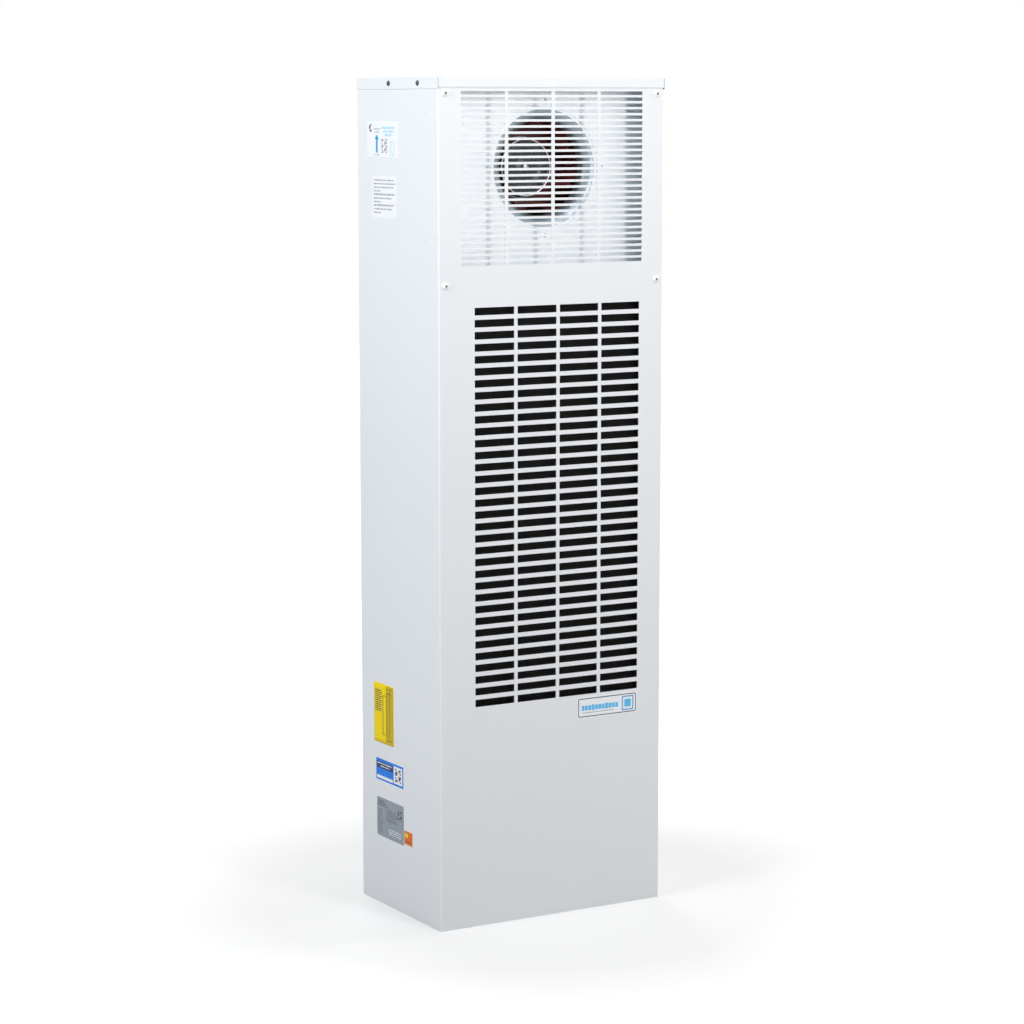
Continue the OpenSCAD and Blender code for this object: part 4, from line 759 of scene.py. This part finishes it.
def make_nozzle(node, axis, mouth, throat):
    """The rolled inlet ring, in a darker copy of the zinc that is painted shade. Its flange, beyond
    the mouth, is in the plate's own finish.
    """
    low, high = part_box(node)
    flange = (high.x - low.x) / 2
    depth = high.y - low.y
    front = air_side(low, high, axis)
    t = 1.2 * MM
    curve = mouth - throat
    inside = [(flange, 0), (mouth, 0)] + arc(mouth, curve, curve, 270, 180, 16)[1:]
    lip = [(throat, depth - t), (throat + 0.4 * t, depth), (throat + t, depth)]
    outside = [(throat + t, curve)] + arc(mouth, curve, curve - t, 180, 270, 16)[1:] + [(flange, t)]
    bm = bmesh.new()
    closed_lathe(bm, inside + lip + outside, front, axis, 160)
    made = piece(node + "_rolled", bm, "nozzle_zinc_painted_shade", sharp=40)
    # The front flange takes the plate's brighter zinc, which is painted light
    made.data.materials.append(MATERIALS["galvanised_sheet" if axis.y > 0 else "zinc_sheet"])
    for face in made.data.polygons:
        away = face.center - front
        away.y = 0
        face.material_index = int(away.length > mouth)
    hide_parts(node)


def blade(bm, centre, axis, turn, inner, outer, low_z, high_in, high_out, sweep, thick):
    """One backward-curved blade, thickest in its middle, from the hub side to the rim."""
    u, v, w = basis(axis)
    steps = 18
    loops = []
    for k in range(steps + 1):
        s = k / steps
        r = inner + (outer - inner) * s
        a = turn - sweep * s ** 0.85
        half = thick * (0.35 + math.sin(math.pi * min(1, s * 1.05 + 0.12)) ** 0.8) / 2
        top = high_in + (high_out - high_in) * s
        radial = u * math.cos(a) + v * math.sin(a)
        around = -u * math.sin(a) + v * math.cos(a)
        lean = radial * 0.75 + around * 0.66
        across = w.cross(lean).normalized()
        mid = centre + radial * r
        loops.append([bm.verts.new(mid + across * half * side + w * height)
                      for side, height in ((1, low_z), (-1, low_z), (-1, top), (1, top))])
    for a, b in zip(loops, loops[1:]):
        strip_faces(bm, a, b)
    bm.faces.new(loops[0])
    bm.faces.new(list(reversed(loops[-1])))


BLADES = 7
WHEEL_SEGMENTS, ROTOR_SEGMENTS = 128, 120
ROTOR_FLANGE = 5 * MM        # how far a rotor's flange stands out of its cup, where the wheel sits


def make_wheel(node, rotor, axis, body, finish, plate_finish, inlet, flare):
    """A backward-curved wheel: shroud with a rolled inlet, blades, back plate with its rivets."""
    low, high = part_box(node)
    outer = (high.x - low.x) / 2
    back = high.y - low.y
    front = air_side(low, high, axis)
    rotor_low, rotor_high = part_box(rotor)
    hub = (rotor_high.x - rotor_low.x) / 2 - ROTOR_FLANGE
    t, collar, plate_t = 1.4 * MM, 4 * MM, 1.6 * MM
    bm = bmesh.new()
    top = [(inlet, 0.3 * MM), (inlet + 0.3 * MM, 0), (inlet + t, 0.2 * MM)]
    steps = 14
    over, under = [], []
    for k in range(steps + 1):
        s = k / steps
        r = inlet + t + (outer - inlet - t) * s
        z = collar + (flare - collar) * (1 - (1 - s) ** 1.7)
        over.append((r, z - t * 0.5))
        under.append((r - 0.3 * t, z + t * 0.5))
    shroud = top + over + list(reversed(under)) + [(inlet, collar + t)]
    closed_lathe(bm, shroud, front, axis, WHEEL_SEGMENTS)
    for k in range(BLADES):
        blade(bm, front, axis, 2 * math.pi * k / BLADES, outer * 0.54, outer - 2 * MM,
              back - 1.7 * MM, 5.6 * MM + (flare - 5 * MM) * 0.12, flare - 0.1 * MM,
              math.radians(58), 4.2 * MM)
    made = piece(node + "_moulded", bm, finish, body=body, sharp=40)
    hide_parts(node)

    bm = bmesh.new()
    seat, crown = back - 1.7 * MM, back - 3.4 * MM
    ring = [(hub + 0.3 * MM, seat), (hub + 0.3 * MM, crown)]
    ring += arc(hub + 1.9 * MM, crown, 1.6 * MM, 180, 360, 8) + [(hub + 3.5 * MM, seat)]
    closed_lathe(bm, ring, front, axis, WHEEL_SEGMENTS)
    piece(node + "_hub_ring", bm, "bare_aluminium", body=body)

    bm = bmesh.new()
    bore = hub + 0.06 * MM
    closed_lathe(bm, [(bore, back - plate_t), (outer - 0.5 * MM, back - plate_t),
                      (outer, back - 1.2 * MM), (outer, back - 0.4 * MM), (outer - 0.4 * MM, back),
                      (bore, back)], front, axis, WHEEL_SEGMENTS)
    u, v, w = basis(axis)
    rivet = [(2.6 * MM, 0), (2.4 * MM, 0.7 * MM), (1.4 * MM, 1.2 * MM), (0, 1.35 * MM)]
    for k in range(6):
        a = 2 * math.pi * (k + 0.25) / 6
        radial = u * math.cos(a) + v * math.sin(a)
        lathe(bm, rivet, front + radial * (hub + 9 * MM) + w * (back - plate_t), -w, 20)
    # On the ambient wheel the back plate's finish is painted shade, a darker copy of the wheel's
    # maroon
    piece(node + "_back_plate", bm, plate_finish, body=body, sharp=40)


def make_rotor(node, axis, body):
    """The motor's cup: a stepped face with eight raised ribs, a bright rim, and the shaft's end."""
    low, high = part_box(node)
    r = (high.x - low.x) / 2 - ROTOR_FLANGE
    boss = 2.4 * MM
    cup_end = high.y - low.y - boss - 3 * MM
    flange_at = cup_end * 0.62
    front = air_side(low, high, axis) + axis * boss
    bm = bmesh.new()
    cup = [(0, 1.0 * MM), (7 * MM, 1.0 * MM), (8 * MM, 0.2 * MM), (r * 0.30, 0.2 * MM),
           (r * 0.34, 1.1 * MM), (r * 0.52, 1.1 * MM), (r * 0.56, 0.2 * MM), (r * 0.80, 0.2 * MM),
           (r * 0.84, 0.9 * MM), (r - 4.5 * MM, 0.9 * MM), (r - 3.6 * MM, 0.3 * MM)]
    cup += arc(r - 3 * MM, 3 * MM, 3 * MM, 270, 360, 6)
    cup += [(r, flange_at), (r + ROTOR_FLANGE, flange_at), (r + ROTOR_FLANGE, flange_at + 2.5 * MM),
            (r, flange_at + 2.6 * MM), (r, cup_end - 4 * MM), (r - 2.5 * MM, cup_end - 4 * MM),
            (r - 2.5 * MM, 3.2 * MM), (0, 3.2 * MM)]
    lathe(bm, cup, front, axis, ROTOR_SEGMENTS)
    u, v, w = basis(axis)
    for k in range(8):
        a = 2 * math.pi * k / 8
        radial = u * math.cos(a) + v * math.sin(a)
        around = -u * math.sin(a) + v * math.cos(a)
        mid = front + radial * r * 0.68
        corners = [mid + around * s * 1.4 * MM + radial * d * r * 0.11
                   for s, d in ((-1, -1), (1, -1), (1, 1), (-1, 1))]
        foot = [bm.verts.new(p + w * 0.25 * MM) for p in corners]
        crest = [bm.verts.new(p - w * 0.5 * MM) for p in corners]
        strip_faces(bm, foot, crest)
        bm.faces.new(crest)
    made = piece(node + "_turned", bm, "black_enamel", body=body, sharp=35)
    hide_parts(node)
    bm = bmesh.new()
    rim = arc(r - 1.9 * MM, 1.2 * MM, 1.7 * MM, 180, 335, 8)
    closed_lathe(bm, rim + [(r - 1.9 * MM, 1.6 * MM)], front, axis, ROTOR_SEGMENTS)
    piece(node + "_rim", bm, "bare_aluminium", body=body)
    bm = bmesh.new()
    end = [(0, -boss), (2.2 * MM, -boss), (3.4 * MM, -boss * 0.62), (5.6 * MM, -boss * 0.35),
           (6 * MM, 0), (6 * MM, 1.2 * MM)]
    lathe(bm, end, front, axis, 40)
    piece(node + "_shaft_end", bm, "bare_aluminium", body=body)


# Coils

FIN_PITCH, FIN_THICK, FIN_FOLDS = 2.1 * MM, 0.22 * MM, 8
FOLD_SHARE = 0.32            # how far a fold stands to each side, as a share of the pitch


def make_fins(node, finish, deep=None, lean=0.0):
    """The stack of thin folded fins that fills a block's place. A lean is in degrees, to the rear."""
    low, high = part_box(node)
    deep = deep or high.y - low.y
    count = int((high.x - low.x) / FIN_PITCH)
    first = (low.x + high.x) / 2 - (count - 1) * FIN_PITCH / 2
    turn = math.radians(lean)
    rise = deep * math.sin(turn)
    height = (high.z - low.z - rise) / math.cos(turn)
    origin = Vector((0, low.y, low.z + rise))
    along = Vector((0, math.sin(turn), math.cos(turn))) * height
    inward = Vector((0, math.cos(turn), -math.sin(turn)))
    bm = bmesh.new()
    for k in range(count):
        rings = []
        for j in range(FIN_FOLDS + 1):
            wave = (FOLD_SHARE if j % 2 else -FOLD_SHARE) * FIN_PITCH if 0 < j < FIN_FOLDS else 0
            x = first + k * FIN_PITCH + wave
            base = origin + inward * deep * j / FIN_FOLDS
            rings.append([bm.verts.new((x + side * FIN_THICK, p.y, p.z))
                          for side, p in ((-0.5, base), (-0.5, base + along),
                                          (0.5, base + along), (0.5, base))])
        for a, b in zip(rings, rings[1:]):
            strip_faces(bm, a, b)
        bm.faces.new(rings[0])
        bm.faces.new(rings[-1])
    made = piece(node + "_stack", bm, finish, sharp=20)
    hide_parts(node)


# Knob and gasket on the rear

KNOB_TALL, KNOB_GAP = 10 * MM, 1 * MM
SCALE_MARKS, SCALE_START, SCALE_STEP = 11, 225, 27    # number, and degrees


def make_knob():
    """The fluted knob with its pointer and spindle, and the fixed scale on the tray behind it."""
    low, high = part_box("setpoint_knob")
    centre = (low + high) / 2
    r = (high.x - low.x) / 2
    top = high.y
    base = top - KNOB_TALL
    at = Vector((centre.x, base, centre.z))
    bm = bmesh.new()
    skirt = [(0, 0), (r, 0), (r, 2.0 * MM), (r * 0.97, 2.6 * MM), (r * 0.86, 3.0 * MM),
             (r * 0.84, 8.4 * MM), (r * 0.80, 9.4 * MM), (r * 0.72, 9.9 * MM), (r * 0.3, 9.6 * MM),
             (0, 9.6 * MM)]
    lathe(bm, skirt, at, REAR, 144, {4: (0.03, 24), 5: (0.035, 24), 6: (0.03, 24)})
    spindle = [(1.0 * MM, 0), (3.0 * MM, 0), (3.0 * MM, low.y - base), (1.0 * MM, low.y - base)]
    closed_lathe(bm, spindle, at, REAR, 32)
    made = piece("setpoint_knob_fluted", bm, "black_plastic", body="knob")
    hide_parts("setpoint_knob")
    bm = bmesh.new()
    eased_box(bm, (centre.x - 0.8 * MM, top - 0.6 * MM, centre.z + r * 0.18),
              (centre.x + 0.8 * MM, top - 0.02 * MM, centre.z + r * 0.70), 0.2 * MM)
    piece("setpoint_pointer", bm, "white_label", body="knob")
    bm = bmesh.new()
    floor = at - REAR * KNOB_GAP
    for k in range(SCALE_MARKS):
        a = math.radians(SCALE_START - SCALE_STEP * k)
        inner, outer = r * 1.15, r * (1.42 if k % 5 == 0 else 1.30)
        along = Vector((math.cos(a), 0, math.sin(a)))
        half = Vector((-math.sin(a), 0, math.cos(a))) * 0.35 * MM
        points = [along * inner - half, along * outer - half,
                  along * outer + half, along * inner + half]
        quad = [bm.verts.new(floor + REAR * 0.12 * MM + p) for p in points]
        foot = [bm.verts.new(floor + p) for p in points]
        bm.faces.new(quad)
        strip_faces(bm, foot, quad)
    piece("setpoint_scale", bm, "dark_ink_and_painted_shade")


def make_gasket():
    """Four foam strips with rounded edges, which meet at mitred corners with a fine gap."""
    low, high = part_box("mounting_gasket")
    w, ease, gap = 12 * MM, 0.6 * MM, 0.25 * MM
    t = high.y - low.y
    section = [(0, 0), (w, 0)] + arc(w - ease, t - ease, ease, 0, 90, 2)
    section += arc(ease, t - ease, ease, 90, 180, 2)
    corners = ((low.x, low.z, 1, 1), (high.x, low.z, -1, 1),
               (high.x, high.z, -1, -1), (low.x, high.z, 1, -1))
    runs = ((1, 0), (0, 1), (-1, 0), (0, -1))
    bm = bmesh.new()
    for k, (run_x, run_z) in enumerate(runs):
        loops = []
        for (x, z, in_x, in_z), back in ((corners[k], gap), (corners[(k + 1) % 4], -gap)):
            loops.append([bm.verts.new((x + in_x * s + back * run_x, low.y + h,
                                        z + in_z * s + back * run_z)) for s, h in section])
        strip_faces(bm, loops[0], loops[1])
        bm.faces.new(loops[0])
        bm.faces.new(list(reversed(loops[1])))
    made = piece("mounting_gasket_strips", bm, "gasket_rubber")
    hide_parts("mounting_gasket")


# Studio

WHITE = (1, 1, 1)
AMBIENT = 0.08               # strength of the world's light; the camera sees it at 1
FLOOR_GREY, FLOOR_GLOW = 0.32, 0.50
FLOOR_HALF, FLOOR_DROP = 12, 0.0002
GLOW_FROM, GLOW_FULL = 0.5, 1.5       # m from the middle, where the floor turns to plain white
LAMPS = (                    # name, place, target, size, power, colour
    ("key", (0.50, -3.10, 2.15), (0, -0.15, 1.35), (0.45, 1.5), 49.5, WHITE),
    ("front_right", (2.4, -3.6, 2.3), (0, -0.15, 1.3), (1.5, 1.2), 9, WHITE),
    ("front_top", (0, -1.75, 2.95), (0, -0.15, 1.30), (1.3, 0.6), 15, WHITE),
    ("fill_left", (-2.7, -0.45, 2.3), (-0.24, 0, 1.25), (1.2, 1.2), 74, (0.93, 0.965, 1.0)),
    ("fill_right", (2.9, -0.30, 2.2), (0.24, 0, 1.2), (1.4, 1.4), 52, WHITE),
    ("fill_rear", (0.6, 3.1, 2.3), (0, 0.15, 1.2), (1.6, 1.6), 62, WHITE),
    ("top", (0, 0, 3.9), (0, 0, 1.5), (1.4, 1.4), 8, WHITE),
)


def area_light(name, place, target, size, power, colour):
    data = bpy.data.lights.new(name, "AREA")
    data.shape = "RECTANGLE"
    data.size, data.size_y = size
    data.energy = power
    data.color = colour
    lamp = bpy.data.objects.new(name, data)
    bpy.context.scene.collection.objects.link(lamp)
    lamp.location = place
    lamp.rotation_euler = (Vector(target) - Vector(place)).to_track_quat("-Z", "Y").to_euler()
    lamp.visible_camera = False


def seen_ray(tree):
    """One where a ray comes from the camera, or from a glossy or clear surface."""
    path = tree.nodes.new("ShaderNodeLightPath")
    value = path.outputs["Is Camera Ray"]
    for ray in ("Is Glossy Ray", "Is Transmission Ray"):
        node = tree.nodes.new("ShaderNodeMath")
        node.operation = "MAXIMUM"
        tree.links.new(value, node.inputs[0])
        tree.links.new(path.outputs[ray], node.inputs[1])
        value = node.outputs[0]
    return value


def make_world():
    world = bpy.data.worlds.new("studio")
    bpy.context.scene.world = world
    world.use_nodes = True
    tree = world.node_tree
    background = tree.nodes["Background"]
    level = tree.nodes.new("ShaderNodeMapRange")
    level.inputs["To Min"].default_value = AMBIENT
    level.inputs["To Max"].default_value = 1.0
    tree.links.new(seen_ray(tree), level.inputs["Value"])
    background.inputs["Color"].default_value = (*WHITE, 1)
    tree.links.new(level.outputs["Result"], background.inputs["Strength"])


def make_floor():
    """A grey floor that holds the shadow. What is seen of it glows too, more so further out."""
    bm = bmesh.new()
    bmesh.ops.create_grid(bm, x_segments=8, y_segments=8, size=FLOOR_HALF)
    mesh = bpy.data.meshes.new("floor")
    bm.to_mesh(mesh)
    bm.free()
    floor = bpy.data.objects.new("floor", mesh)
    bpy.context.scene.collection.objects.link(floor)
    floor.location = (0, 0, -FLOOR_DROP)
    material = bpy.data.materials.new("floor")
    material.use_nodes = True
    tree = material.node_tree
    shader = tree.nodes["Principled BSDF"]
    shader.inputs["Base Color"].default_value = (FLOOR_GREY, FLOOR_GREY, FLOOR_GREY, 1)
    shader.inputs["Roughness"].default_value = 0.9
    shader.inputs["Emission Color"].default_value = (*WHITE, 1)
    place = tree.nodes.new("ShaderNodeTexCoord")
    far = tree.nodes.new("ShaderNodeVectorMath")
    far.operation = "LENGTH"
    tree.links.new(place.outputs["Object"], far.inputs[0])
    glow = tree.nodes.new("ShaderNodeMapRange")
    glow.inputs["From Min"].default_value = GLOW_FROM
    glow.inputs["From Max"].default_value = GLOW_FULL
    glow.inputs["To Min"].default_value = FLOOR_GLOW
    glow.inputs["To Max"].default_value = 1.0
    tree.links.new(far.outputs["Value"], glow.inputs["Value"])
    level = tree.nodes.new("ShaderNodeMath")
    level.operation = "MULTIPLY"
    tree.links.new(glow.outputs["Result"], level.inputs[0])
    tree.links.new(seen_ray(tree), level.inputs[1])
    tree.links.new(level.outputs[0], shader.inputs["Emission Strength"])
    mesh.materials.append(material)


def make_studio():
    make_world()
    make_floor()
    for lamp in LAMPS:
        area_light(*lamp)
    bpy.context.scene.view_settings.view_transform = "Standard"


# The CAD nodes that stay, by finish

NODE_FINISH = {
    "painted_sheet": "front_cover top_cap",
    "galvanised_sheet": "fan_plate",
    "zinc_sheet": "base_pan back_panel ambient_motor_bracket partition_wall chamber_floor "
                  "enclosure_motor_bracket evaporator_end_plates "
                  "condensate_tray control_box service_tray",
    "foam": "partition_foam compressor_grommets",
    "zinc_steel": "mounting_inserts lifting_bushes compressor_bolts connector_pins "
                  "ambient_motor_bearings enclosure_motor_bearings",
    "bare_aluminium": "ambient_motor_stator enclosure_motor_stator run_capacitor",
    "copper": "condenser_tubes evaporator_tubes discharge_line liquid_line suction_line filter_drier",
    "brass": "expansion_valve",
    "grey_hose": "drain_hose",
    "black_plastic": "drain_spigot compressor_terminal_cover power_connector thermostat_body",
    "black_enamel": "compressor_shell compressor_base suction_accumulator condenser_end_plates",
    "circuit_board": "control_board",
    "terminal_plastic": "terminal_block",
}

make_camera()
for finish, names in NODE_FINISH.items():
    for name in names.split():
        mesh = nodes[name].data
        mesh.materials.clear()
        mesh.materials.append(MATERIALS[finish])

make_screws()
make_rivets()
make_labels()
make_card()
make_badge()
make_cap_seam_shadows()
make_nozzle("inlet_nozzle", REAR, mouth=109 * MM, throat=88 * MM)
make_nozzle("enclosure_nozzle", FRONT, mouth=88 * MM, throat=76 * MM)
make_wheel("ambient_impeller", "ambient_motor_rotor", REAR, "ambient_wheel",
           "wheel_red", "wheel_dark_red", inlet=91.2 * MM, flare=16 * MM)
make_wheel("enclosure_impeller", "enclosure_motor_rotor", FRONT, "enclosure_wheel",
           "wheel_black", "wheel_black", inlet=79.2 * MM, flare=12 * MM)
make_rotor("ambient_motor_rotor", REAR, "ambient_wheel")
make_rotor("enclosure_motor_rotor", FRONT, "enclosure_wheel")
make_fins("condenser_fins", "black_fins")
make_fins("evaporator_fins", "bare_fins", deep=50 * MM, lean=6)
make_knob()
make_gasket()
make_studio()
